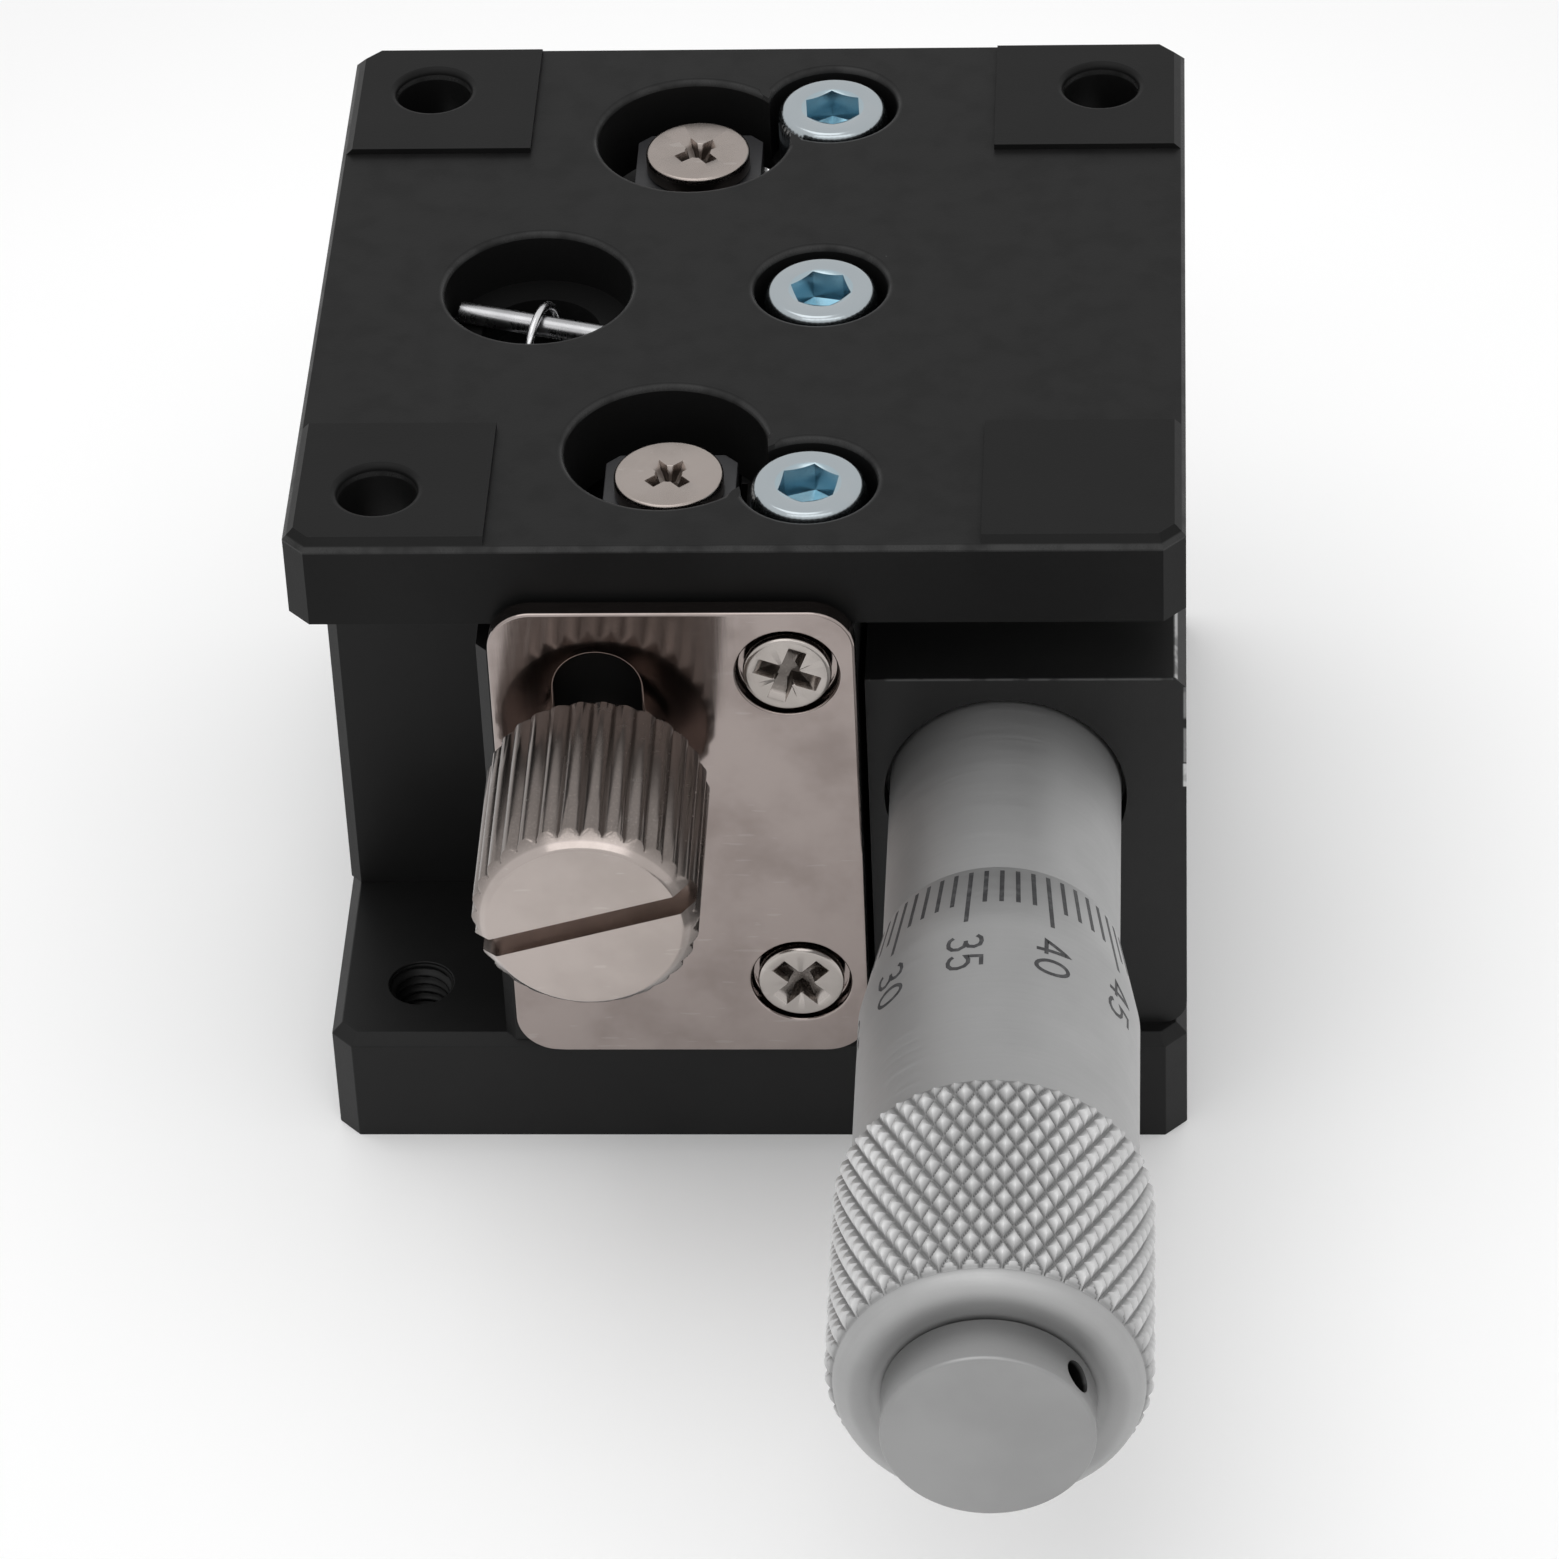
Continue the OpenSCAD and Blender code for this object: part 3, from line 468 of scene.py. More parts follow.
@dataclass(frozen=True)
class Plated:
    """Plated steel sheet or screw: cloudy warm sheen, brushed one way, with short scratches."""

    name: str = "nickel_plate"
    slot: Slot = Slot.NICKEL
    colour: Colour = (0.36, 0.31, 0.292)
    stain: Colour = (0.22, 0.182, 0.168)
    roughness: float = 0.12
    brush: Sequence[float] = (1, 1, 0.03)
    grain: float = 0.0008
    scratches: float = 0.14
    scratched: Colour = (0.8, 0.78, 0.75)
    grimy: Colour = (0.045, 0.036, 0.03)
    grime: tuple[str, float, float, float] = ("Y", 9.0, 10.0, 0.0)
    clean: tuple[float, float, float] = (0.0, 0.0, 0.0)

    def make(self) -> bpy.types.Material:
        """Builds the material.

        The painted shade is an axis, where it starts and is full, and its share: it darkens the
        plating, with a little noise, as painted shade in screw recesses and along the knob's
        flutes. The unshaded setting is the x and z of an axis along Y, and the distance round it
        within which no shade is painted.
        """
        g = Graph(self.name)
        cloud = g.noise(190, 4, roughness=0.6)
        brushed = g.noise(6500, 3, self.brush, 0.65)
        fine = g.noise(10000, 2)
        scratch = g.noise(1800, 1, (0.35, 1, 2.2)).between(0.7, 0.74) * self.scratches
        tint = g.mixed(cloud.between(0.38, 0.72) * 0.6, self.colour, self.stain)
        tint = g.mixed(scratch * 0.5, tint, self.scratched)
        # Painted shade: darker along one axis, with a little noise, except within the unshaded
        # radius.
        axis, start, full, share = self.grime
        grime = g.part(axis).between(start, full, 0.0, share) * fine.between(0.2, 0.5, 0.75, 1.0)
        if self.clean[2]:
            *axis, radius = self.clean
            grime = grime * g.away("XZ", axis).between(radius, radius + 0.1)
        tint = g.mixed(grime, tint, self.grimy)
        rough = self.roughness + (cloud - 0.45) * 0.22 + (brushed - 0.5) * 0.09 + scratch * 0.15 \
            + grime * 0.1
        normal = g.bump(brushed + fine * 0.3 - scratch * 0.5, self.grain)
        return g.finish(base_color=tint, metallic=1.0, roughness=rough, normal=normal)


@dataclass(frozen=True)
class ZincPlated:
    """Blue passivated zinc: bright outer faces, bluish where the plating lies in a recess."""

    name: str = "blue_zinc"
    slot: Slot = Slot.ZINC
    colour: Colour = (0.405, 0.447, 0.47)
    blue: Colour = (0.33, 0.52, 0.61)
    cloudy: Colour = (0.45, 0.47, 0.48)
    top: float = 34.53
    depth: float = 1.1
    radius: float = 1.55
    centres: Sequence[tuple[float, float]] = ((3.2, 15.0), (3.2, 0.0), (3.2, -15.0))

    def make(self) -> bpy.types.Material:
        """Builds the material; the blue grows inside the socket and with depth below the top."""
        g = Graph(self.name)
        nearest, *others = (g.away("XY", centre) for centre in self.centres)
        for other in others:
            nearest = nearest.smallest(other)
        inside = nearest.between(self.radius, self.radius - 0.12)
        deep = g.part("Z").between(self.top, self.top - self.depth, 0.35, 1.0)
        cloud = g.noise(700, 3)
        fine = g.noise(9000, 2)
        tint = g.mixed(inside * deep * 0.9, self.colour, self.blue)
        tint = g.mixed(cloud.between(0.5, 0.8) * 0.25, tint, self.cloudy)
        rough = 0.22 + (cloud - 0.5) * 0.15 + (fine - 0.5) * 0.08
        return g.finish(base_color=tint, metallic=1.0, roughness=rough,
                        normal=g.bump(fine + cloud * 0.5, 0.0015))


@dataclass(frozen=True)
class Steel:
    """Hardened or blackened steel: ground lines and light clouding."""

    name: str = "ground_steel"
    slot: Slot = Slot.BRIGHT
    colour: Colour = (0.45, 0.45, 0.46)
    roughness: float = 0.28
    lines: Sequence[float] = (1, 1, 0.05)
    grain: float = 0.001
    metallic: float = 1.0

    def make(self) -> bpy.types.Material:
        """Builds the material."""
        g = Graph(self.name)
        cloud = g.noise(400, 3)
        ground = g.noise(7000, 2, self.lines)
        dark = tuple(0.7 * c for c in self.colour)
        tint = g.mixed(cloud.between(0.3, 0.8) * 0.7, self.colour, dark)
        rough = self.roughness + (cloud - 0.5) * 0.2 + (ground - 0.5) * 0.15
        return g.finish(base_color=tint, metallic=self.metallic, roughness=rough,
                        normal=g.bump(ground, self.grain))


@dataclass(frozen=True)
class Ink:
    """Filled graduation: dark enamel with a slightly uneven tone."""

    name: str = "dial_ink"
    slot: Slot = Slot.CHROME
    colour: Colour = (0.025, 0.025, 0.027)
    thin: Colour = (0.07, 0.07, 0.072)

    def make(self) -> bpy.types.Material:
        """Builds the material."""
        g = Graph(self.name)
        tone = g.noise(3000, 2)
        tint = g.mixed(tone.between(0.4, 0.8), self.colour, self.thin)
        return g.finish(base_color=tint, roughness=0.55 + (tone - 0.5) * 0.2,
                        normal=g.bump(tone, 0.001))


class Finish(Enum):
    """The finishes of the stage, each by the dataclass that makes it."""

    BLACK = Anodised()
    CHROME = TurnedMetal()
    # The cap's bored setting paints shadow inside its spanner hole.
    CAP = TurnedMetal(name="cap_chrome", colour=grey(0.345), shade=grey(0.3),
                      roughness=0.42, bored=4.4)
    NICKEL = Plated()
    # These screw and knob finishes paint shade into the cross recesses and down the knob's flutes.
    SCREW_NICKEL = Plated(name="screw_nickel", colour=(0.39, 0.345, 0.32),
                          stain=(0.3, 0.262, 0.24), roughness=0.24, brush=(1, 1, 1), scratches=0.2,
                          grain=0.0003, grime=("Z", 33.3, 33.1, 0.6))
    HEAD_NICKEL = Plated(name="head_nickel", colour=(0.46, 0.425, 0.4), stain=(0.37, 0.335, 0.31),
                         roughness=0.2, brush=(1, 1, 1), scratches=0.2,
                         grain=0.0003, grime=("Y", -21.2, -21.0, 0.68))
    KNOB_NICKEL = Plated(name="knob_nickel", colour=(0.46, 0.405, 0.38), stain=(0.36, 0.315, 0.29),
                         roughness=0.17, brush=(1, 0.03, 1), scratches=0.25,
                         grime=("Y", -33.45, -32.35, 0.62), clean=(-6.2, 24.1, 4.55))
    ZINC = ZincPlated()
    HIDDEN_ZINC = ZincPlated(name="zinc_under", top=6.0, depth=6.0)
    RAIL = Steel(name="rail_steel", slot=Slot.RAIL, colour=(0.05, 0.05, 0.053),
                 roughness=0.42, metallic=0.3)
    GROUND = Steel()
    BLACK_STEEL = Steel(name="black_steel", slot=Slot.BLACK_STEEL,
                        colour=(0.035, 0.035, 0.038), roughness=0.4, metallic=0.7)
    BRASS = Steel(name="cage_brass", colour=(0.5, 0.38, 0.16), roughness=0.35)
    INK = Ink()
    # The block's uncoated edges along its top and right side are painted highlights, partly edge
    # wear.
    BLOCK = Anodised(name="block_anodised", shine=0.3, bare=(
        ((19.46, 19.6), (-18.8, -8.6), (25.9, 26.5), (0.25, 0.7)),
        ((19.86, 20.1), (-19.0, -18.8), (20.2, 21.5), (0.3, 1.0)),
        ((19.88, 20.1), (-19.0, -18.8), (21.6, 25.9), (0.0, 0.35)),
        ((5.8, 19.4), (-19.0, -18.84), (26.32, 26.5), (0.0, 0.09))))
    # The platform's rims are painted lighter: partly wear, partly a painted highlight.
    TOP = Anodised(name="platform_anodised", roughness=0.4, shine=0.11, rims=(34.44, 34.7))
    SPRING = Steel(name="spring_wire", colour=(0.72, 0.72, 0.73), roughness=0.25, lines=(1, 1, 1))

    def coat(self, mesh: bpy.types.Mesh) -> None:
        """Makes the finish, once, the only material of a mesh."""
        made = bpy.data.materials.get(f"{self.value.name}_finish")
        mesh.materials.clear()
        mesh.materials.append(made if made is not None else self.value.make())


# -------------------- pieces


def placed(name: str, patch: Patch, body: str, finish: Finish, nodes: Sequence[str] = (),
           smooth: float = 35.0) -> bpy.types.Object:
    """Makes a piece from a patch and ties it to its body.

    Args:
        name: the piece's name.
        patch: its surface in millimetres.
        body: the body that it rides on.
        finish: its material.
        nodes: the CAD nodes that it stands for.
        smooth: faces that meet at less than this many degrees are shaded as one.

    Returns:
        The new object.
    """
    mesh = patch.mesh(name)
    mesh.validate()
    sharpen(mesh, smooth)
    return handed(name, mesh, body, finish, nodes)


def sharpen(mesh: bpy.types.Mesh, angle: float) -> None:
    """Shades a mesh smooth except across edges that turn by more than the angle."""
    bm = bmesh.new()
    bm.from_mesh(mesh)
    limit = math.radians(angle)
    for face in bm.faces:
        face.smooth = True
    for edge in bm.edges:
        edge.smooth = edge.calc_face_angle(math.pi) < limit
    bm.to_mesh(mesh)
    bm.free()


def linked(name: str, data: bpy.types.ID) -> bpy.types.Object:
    """A new object of the scene."""
    made = bpy.data.objects.new(name, data)
    bpy.context.scene.collection.objects.link(made)
    return made


def handed(name: str, mesh: bpy.types.Mesh, body: str, finish: Finish,
           nodes: Sequence[str]) -> bpy.types.Object:
    """Wraps a mesh in an object, dresses it, ties it to its body and hides the nodes that it stands
    for.
    """
    piece = linked(name, mesh)
    finish.coat(mesh)
    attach(piece, body)
    if nodes:
        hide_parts(*nodes)
    log.info("%s: %d faces on %s", name, len(mesh.polygons), body)
    return piece


Edit = Callable[[bmesh.types.BMesh], None]
BROKEN_FROM = 28.0  # edges that turn by more than this many degrees are broken


def softened(node: str, body: str, finish: Finish, width: float, segments: int = 3,
             name: str = "", edit: Union[Edit, None] = None) -> bpy.types.Object:
    """A copy of a CAD node with merged points, whole flat faces and broken edges.

    Args:
        node: the CAD node that is copied and replaced.
        body: the body that it rides on.
        finish: its material.
        width: how far back from the corner an edge is broken, in millimetres.
        segments: faces across a broken edge.
        name: the piece's name, without its ending, where it isn't the node's.
        edit: changes the merged mesh before its edges are broken.

    Returns:
        The new object.
    """
    name = f"{name or node}_body"
    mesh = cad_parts[node].data.copy()
    mesh.name = name
    bm = bmesh.new()
    bm.from_mesh(mesh)
    bmesh.ops.remove_doubles(bm, verts=bm.verts, dist=2e-6)
    bmesh.ops.dissolve_limit(bm, angle_limit=math.radians(0.3), verts=bm.verts,
                             edges=bm.edges, delimit={"NORMAL"})
    if edit is not None:
        edit(bm)
    for face in bm.faces:
        face.smooth = True
    bm.to_mesh(mesh)
    bm.free()
    kept = mesh.attributes.get("custom_normal")
    if kept is not None:
        mesh.attributes.remove(kept)
    piece = handed(name, mesh, body, finish, [node])
    bevel = piece.modifiers.new("broken_edges", "BEVEL")
    bevel.width = width * MM
    bevel.segments = segments
    bevel.limit_method = "ANGLE"
    bevel.angle_limit = math.radians(BROKEN_FROM)
    bevel.harden_normals = True
    bevel.use_clamp_overlap = True
    bevel.miter_outer = "MITER_ARC"
    return piece


def dressed(node: str, finish: Finish) -> None:
    """Gives a CAD node that keeps its own mesh its material."""
    finish.coat(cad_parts[node].data)


# -------------------- sub-assemblies


@dataclass
class Casework:
    """The black anodised body: base, column, micrometer block, carriage and platform."""

    width: float = 0.09
    block_width: float = 0.12
    thread_at: Sequence[tuple[float, float]] = ((16, 16), (-16, 16), (16, -16), (-16, -16))
    thread_root: float = 1.5
    thread_crest: float = 1.25
    thread_wall: float = 1.56
    thread_inset: float = 0.12
    thread_runout: float = 0.4
    opened_to: float = 1.53
    pitch: float = 0.5
    base_t: float = 6.0
    hole_rims: float = 34.0
    rim: float = 0.28
    rim_chord: float = 1.2
    corner_gap: float = 0.35

    def build(self) -> None:
        """Makes the five parts and the threads of the base's four tapped holes."""
        softened("base_plate", "frame", Finish.BLACK, self.width, name="base", edit=self.opened)
        softened("column", "frame", Finish.BLACK, self.width)
        softened("micrometer_block", "frame", Finish.BLOCK, self.block_width, name="block")
        softened("carriage", "carriage", Finish.BLACK, self.width)
        softened("platform", "carriage", Finish.TOP, self.width, edit=self.rimmed)
        threads = joined([self.thread().shifted(x, y) for x, y in self.thread_at])
        placed("base_threads", threads, "frame", Finish.BLACK, smooth=50)

    def opened(self, bm: bmesh.types.BMesh) -> None:
        """Opens the base's tapped holes from the thread's crests to a little over its roots."""
        for vert in bm.verts:
            for x, y in self.thread_at:
                away = vert.co.xy - Vector((x, y)) * MM
                if abs(away.length - self.thread_crest * MM) < 2e-5:
                    vert.co.xy = Vector((x, y)) * MM + away.normalized() * self.opened_to * MM

    def rimmed(self, bm: bmesh.types.BMesh) -> None:
        """Rounds the upper rims of the platform's round holes, whose edges are the short ones."""
        rims = []
        for edge in bm.edges:
            high = min(vert.co.z for vert in edge.verts) > self.hole_rims * MM
            short = edge.calc_length() < self.rim_chord * MM
            if high and short and len(edge.link_faces) == 2:
                flat, wall = sorted((abs(face.normal.z) for face in edge.link_faces), reverse=True)
                if flat > 0.9 and wall < 0.1:
                    rims.append(edge)
        ways: dict = {}
        for edge in rims:
            for vert in edge.verts:
                way = (edge.other_vert(vert).co - vert.co).normalized()
                ways.setdefault(vert, []).append(way)
        corners = [vert.co.copy() for vert, both in ways.items()
                   if len(both) != 2 or both[0].dot(both[1]) > -0.9]
        rims = [edge for edge in rims if all(
            (vert.co - corner).length > self.corner_gap * MM
            for vert in edge.verts for corner in corners)]
        log.info("platform: %d rim corners left sharp", len(corners))
        made = bmesh.ops.bevel(bm, geom=rims, offset=self.rim * MM, segments=5, profile=0.5,
                               affect="EDGES", clamp_overlap=False)
        ring = set(made["faces"])
        for face in ring:
            for edge in face.edges:
                edge.smooth = ring.issuperset(edge.link_faces)
        log.info("platform: %d rim faces", len(ring))

    def thread(self) -> Patch:
        """Thread insert.

        Its inner radius is root - (root - crest) t(z / pitch - angle / turn), where t is a
        triangle wave from 0 to 1, and it falls off to the root over the runout at each end.
        """
        a = around(72)
        z = np.linspace(self.thread_inset, self.base_t - self.thread_inset, 120)
        phase = np.mod(z[None] / self.pitch - a[:, None] / TAU, 1)
        wave = np.clip(1.25 * (1 - np.abs(2 * phase - 1)) - 0.1, 0, 1)
        ends = np.clip(np.minimum(z - z[0], z[-1] - z) / self.thread_runout, 0, 1)
        inner = self.thread_root - (self.thread_root - self.thread_crest) * wave * ends
        outer = np.full((len(a), 2), self.thread_wall)
        r = np.concatenate([inner, outer], 1)
        height = np.concatenate([z, [z[-1], z[0]]])
        rings = np.stack([r * np.cos(a)[:, None], r * np.sin(a)[:, None],
                          np.broadcast_to(height, r.shape)], -1)
        return lofted(rings, looped=True)


@dataclass
class CrossHead:
    """Screw head with a tapered cross recess, its top at z = 0 and its body below."""

    radius: float
    height: float
    edge: float = 0.12
    reach: float = 1.05
    half: float = 0.27
    depth: float = 0.7
    shank: float = 1.25
    shank_len: float = 3.0
    core: float = 0.0

    def plus(self, angles: Points, share: float) -> Points:
        """Radius of a plus sign: the smaller of reach / cos b and half / |sin b|, at least core.

        b is the angle from the nearest arm, and share scales the sign.
        """
        near = np.mod(angles + TAU / 8, TAU / 4) - TAU / 8
        half = self.half * (0.35 + 0.65 * share)
        arms = np.minimum(self.reach * share / np.cos(near),
                          half / np.maximum(np.abs(np.sin(near)), 1e-6))
        return np.maximum(arms, self.core * share)

    def patch(self) -> Patch:
        """The head and its shank as one closed surface."""
        corner = math.atan2(self.half, self.reach)
        marks = [k * TAU / 4 + s * c for k in range(4) for s in (-1, 1) for c in (corner, TAU / 8)]
        angles = np.unique(np.round(np.concatenate([around(144), np.mod(marks, TAU)]), 6))
        r, h, e = self.radius, self.height, self.edge
        rings: list = [(self.shank, -h - self.shank_len), (self.shank, -h), (r - e, -h), (r, e - h)]
        rings += [(r - e + e * math.cos(t), -e + e * math.sin(t))
                  for t in np.linspace(0, TAU / 4, 6)]
        for share, drop in ((1.08, 0.0), (1.0, 0.05), (0.8, 0.6), (0.45, 1.0)):
            rings.append((self.plus(angles, share), -self.depth * drop))
        return starred(rings, angles)


@dataclass
class SocketHead:
    """Socket head cap screw, its top at z = 0: knurled rim, chamfered hexagon, round shank."""

    radius: float = 2.64
    height: float = 3.0
    flats: float = 2.5
    mouth: float = 1.56
    depth: float = 1.5
    teeth: int = 60
    tooth: float = 0.06
    flat: float = 2.27
    shank: float = 1.5
    shank_len: float = 8.0

    def patch(self, turn: float = 0.0) -> Patch:
        """The screw as one closed surface, its hexagon turned by an angle in degrees."""
        angles = around(self.teeth * 6)
        wave = 0.5 + 0.5 * np.cos(self.teeth * angles)
        near = np.mod(angles, TAU / 6) - TAU / 12
        hexagon = self.flats / 2 / np.cos(near)
        r, h, deep = self.radius, self.height, self.depth
        groove = self.tooth * (1 - wave)
        rings: list = [(self.shank, -h - self.shank_len), (self.shank, -h), (r - 0.15, -h),
                       (r - 0.06, -h + 0.1), (r - groove, -h + 0.25), (r - groove, -0.62),
                       (r - 0.05 - groove * 0.4, -0.46), (r - 0.12, -0.25),
                       (self.flat + 0.12, -0.06), (self.flat + 0.03, -0.01), (self.flat, 0.0),
                       (self.mouth, 0.0), (hexagon, (hexagon - self.mouth) * 0.4),
                       (hexagon, -deep), (hexagon * 0.9, -deep - 0.05),
                       (hexagon * 0.15, -deep - 0.35)]
        return starred(rings, angles).moved(spun(turn))


@dataclass
class Guides:
    """The crossed-roller guides: rails, cages, rollers and their screws."""

    x: float = -3.2
    y: float = 12.9
    top: float = 33.5
    bottom: float = 6.5
    turns: Sequence[float] = (42.0, 37.0)

    def build(self) -> None:
        """Dresses the hidden parts and makes the rails and their end screws."""
        for place, body in (("outer", "frame"), ("inner", "carriage")):
            for end in ("front", "back"):
                softened(f"{place}_rail_{end}", body, Finish.RAIL, 0.06, 2)
        for node in ("outer_rail_screws", "inner_rail_screws"):
            dressed(node, Finish.BLACK_STEEL)
        for end in ("front", "back"):
            dressed(f"cage_{end}", Finish.BRASS)
            dressed(f"rollers_{end}", Finish.GROUND)
        head = CrossHead(radius=2.48, height=1.0, edge=0.16, reach=1.08, half=0.31, depth=0.8,
                         core=0.58).patch()
        flip = np.diag([1.0, -1.0, -1.0])
        heads = []
        for side, turn in zip((-1, 1), self.turns):
            heads.append(head.moved(spun(turn), (self.x, side * self.y, self.top)))
            heads.append(head.moved(flip @ spun(turn), (self.x, side * self.y, self.bottom)))
        placed("rail_end_heads", joined(heads), "frame", Finish.SCREW_NICKEL,
               ["rail_end_screws"], 40)


@dataclass
class Fasteners:
    """Zinc plated socket screws of the platform and under the base."""

    x: float = 3.2
    top: float = 34.56
    turns: Sequence[tuple[float, float]] = ((-15.0, 21.0), (0.0, 47.0), (15.0, 34.0))

    def build(self) -> None:
        """Makes the platform's screws, and breaks the edges of the hidden ones."""
        heads = [SocketHead().patch(turn).shifted(self.x, y, self.top) for y, turn in self.turns]
        placed("platform_heads", joined(heads), "carriage", Finish.ZINC,
               ["platform_screws"], 32)
        for node in ("column_screws", "block_screws"):
            softened(node, "frame", Finish.HIDDEN_ZINC, 0.06, 2)
        softened("block_set_screw", "frame", Finish.BLACK_STEEL, 0.05, 2, "set_screw")


@dataclass
class ReturnSpring:
    """The tension spring and the two cross pins that its hooks hang on."""

    def build(self) -> None:
        """Dresses the spring and rounds the pins' ends."""
        dressed("spring", Finish.SPRING)
        for node, body in (("spring_pin_lower", "frame"), ("spring_pin_upper", "carriage")):
            softened(node, body, Finish.GROUND, 0.1)


@dataclass
class Clamp:
    """The slotted clamp plate, its two screws, the stud and the thumb knob."""

    knob_place: tuple[float, float, float] = (-6.2, 0.0, 24.1)
    back: float = 23.5
    front: float = 33.3
    radius: float = 5.0
    tooth: float = 0.27
    teeth: int = 30
    bevel: float = 0.74
    back_bevel: float = 0.3
    bore: float = 1.56
    bore_depth: float = 4.8
    slot_w: float = 1.0
    slot_depth: float = 1.5
    slot_turn: float = 16.5
    screw_x: float = 2.3
    screw_z: Sequence[tuple[float, float]] = ((10.65, 45.0), (28.65, 69.0))
    screw_front: float = 21.42

    def build(self) -> None:
        """Makes the four parts."""
        softened("clamp_plate", "carriage", Finish.NICKEL, 0.13, 4)
        softened("clamp_stud", "clamp_stud", Finish.KNOB_NICKEL, 0.1)
        head = CrossHead(radius=1.98, height=0.62, edge=0.2, reach=1.4, half=0.4, depth=0.8,
                         core=0.62).patch()
        heads = [head.moved(ALONG_MINUS_Y @ spun(turn), (self.screw_x, -self.screw_front, z))
                 for z, turn in self.screw_z]
        placed("clamp_plate_heads", joined(heads), "carriage", Finish.HEAD_NICKEL,
               ["clamp_plate_screws"], 40)
        self.knob()

    def knob(self) -> None:
        """Knob with straight teeth.

        The radius is R - h t^2, where t goes from 0 on a tooth's crest to 1 in the groove beside
        it; at the ends it is held under a cone, which leaves a scalloped bevel.
        """
        angles = around(self.teeth * 12)
        share = np.abs(2 * np.mod(angles / TAU * self.teeth + 0.5, 1) - 1)
        crest = self.radius - self.tooth * share ** 2
        low, high = self.back, self.front
        rings: list = [(self.bore, low + self.bore_depth), (self.bore, low)]
        for z in np.concatenate([np.linspace(low, low + self.back_bevel, 4),
                                 [low + 3, high - 3],
                                 np.linspace(high - self.bevel, high - 0.03, 9)]):
            cone = min(self.radius - self.back_bevel + (z - low),
                       self.radius - self.bevel * 0.95 + (high - z) * 0.95)
            rings.append((np.minimum(crest, cone), z))
        rings.append((self.radius - self.bevel - 0.03, high))
        patch = starred(rings, angles).moved(ALONG_MINUS_Y, self.knob_place)
        knob = placed("clamp_knob_body", patch, "clamp_knob", Finish.KNOB_NICKEL,
                      ["clamp_knob"], 30)
        slotted(knob, self.cutter(), 30)

    def cutter(self) -> Patch:
        """The slot's box."""
        x, y, z = np.meshgrid([-7.0, 7.0], [-self.slot_w / 2, self.slot_w / 2],
                              [self.front - self.slot_depth, self.front + 1], indexing="ij")
        points = np.stack([x.ravel(), y.ravel(), z.ravel()], -1)
        faces = [[0, 1, 3, 2], [4, 6, 7, 5], [0, 4, 5, 1], [2, 3, 7, 6], [0, 2, 6, 4], [1, 5, 7, 3]]
        return Patch(points, faces).moved(ALONG_MINUS_Y @ spun(self.slot_turn),
                                          self.knob_place).outward()


def slotted(piece: bpy.types.Object, cutter: Patch, smooth: float) -> None:
    """Cuts a patch out of a piece and keeps the result as its mesh."""
    tool = linked("cutter", cutter.mesh("cutter"))
    modifier = piece.modifiers.new("slot", "BOOLEAN")
    modifier.object = tool
    modifier.operation = "DIFFERENCE"
    modifier.solver = "EXACT"
    graph = bpy.context.evaluated_depsgraph_get()
    cut = bpy.data.meshes.new_from_object(piece.evaluated_get(graph))
    piece.modifiers.clear()
    piece.data = cut
    sharpen(cut, smooth)
    bpy.data.objects.remove(tool, do_unlink=True)
    log.info("%s: %d faces after its slot", piece.name, len(cut.polygons))


def resampled(path: Points, step: float = 0.12) -> Points:
    """The same polyline with points added so that no part of it is longer than the step."""
    points = [path[:1]]
    for a, b in zip(path[:-1], path[1:]):
        count = max(1, math.ceil(float(np.linalg.norm(b - a)) / step))
        points.append(a + (b - a) * (np.arange(1, count + 1) / count)[:, None])
    return np.concatenate(points)


GLYPHS: dict[str, list[list[tuple[float, float]]]] = {
    "0": [[(0.5 + 0.42 * math.cos(t), 0.5 + 0.5 * math.sin(t))
           for t in np.linspace(0, TAU, 25)]],
    "1": [[(0.25, 0.8), (0.55, 1.0), (0.55, 0.0)]],
    "2": [[(0.1, 0.76), (0.16, 0.9), (0.32, 0.99), (0.52, 1.0), (0.74, 0.93), (0.86, 0.76),
           (0.8, 0.56), (0.6, 0.36), (0.08, 0.0), (0.9, 0.0)]],
    "3": [[(0.1, 0.86), (0.26, 0.98), (0.5, 1.0), (0.72, 0.95), (0.83, 0.78), (0.76, 0.61),
           (0.58, 0.54), (0.38, 0.53)],
          [(0.5, 0.53), (0.74, 0.48), (0.88, 0.3), (0.82, 0.12), (0.62, 0.01), (0.4, 0.0),
           (0.2, 0.04), (0.08, 0.16)]],
    "4": [[(0.68, 0.0), (0.68, 1.0), (0.06, 0.3), (0.94, 0.3)]],
    "5": [[(0.82, 1.0), (0.24, 1.0), (0.16, 0.54), (0.38, 0.62), (0.6, 0.61), (0.8, 0.5),
           (0.88, 0.3), (0.8, 0.11), (0.6, 0.01), (0.38, 0.0), (0.18, 0.06), (0.08, 0.16)]],
}


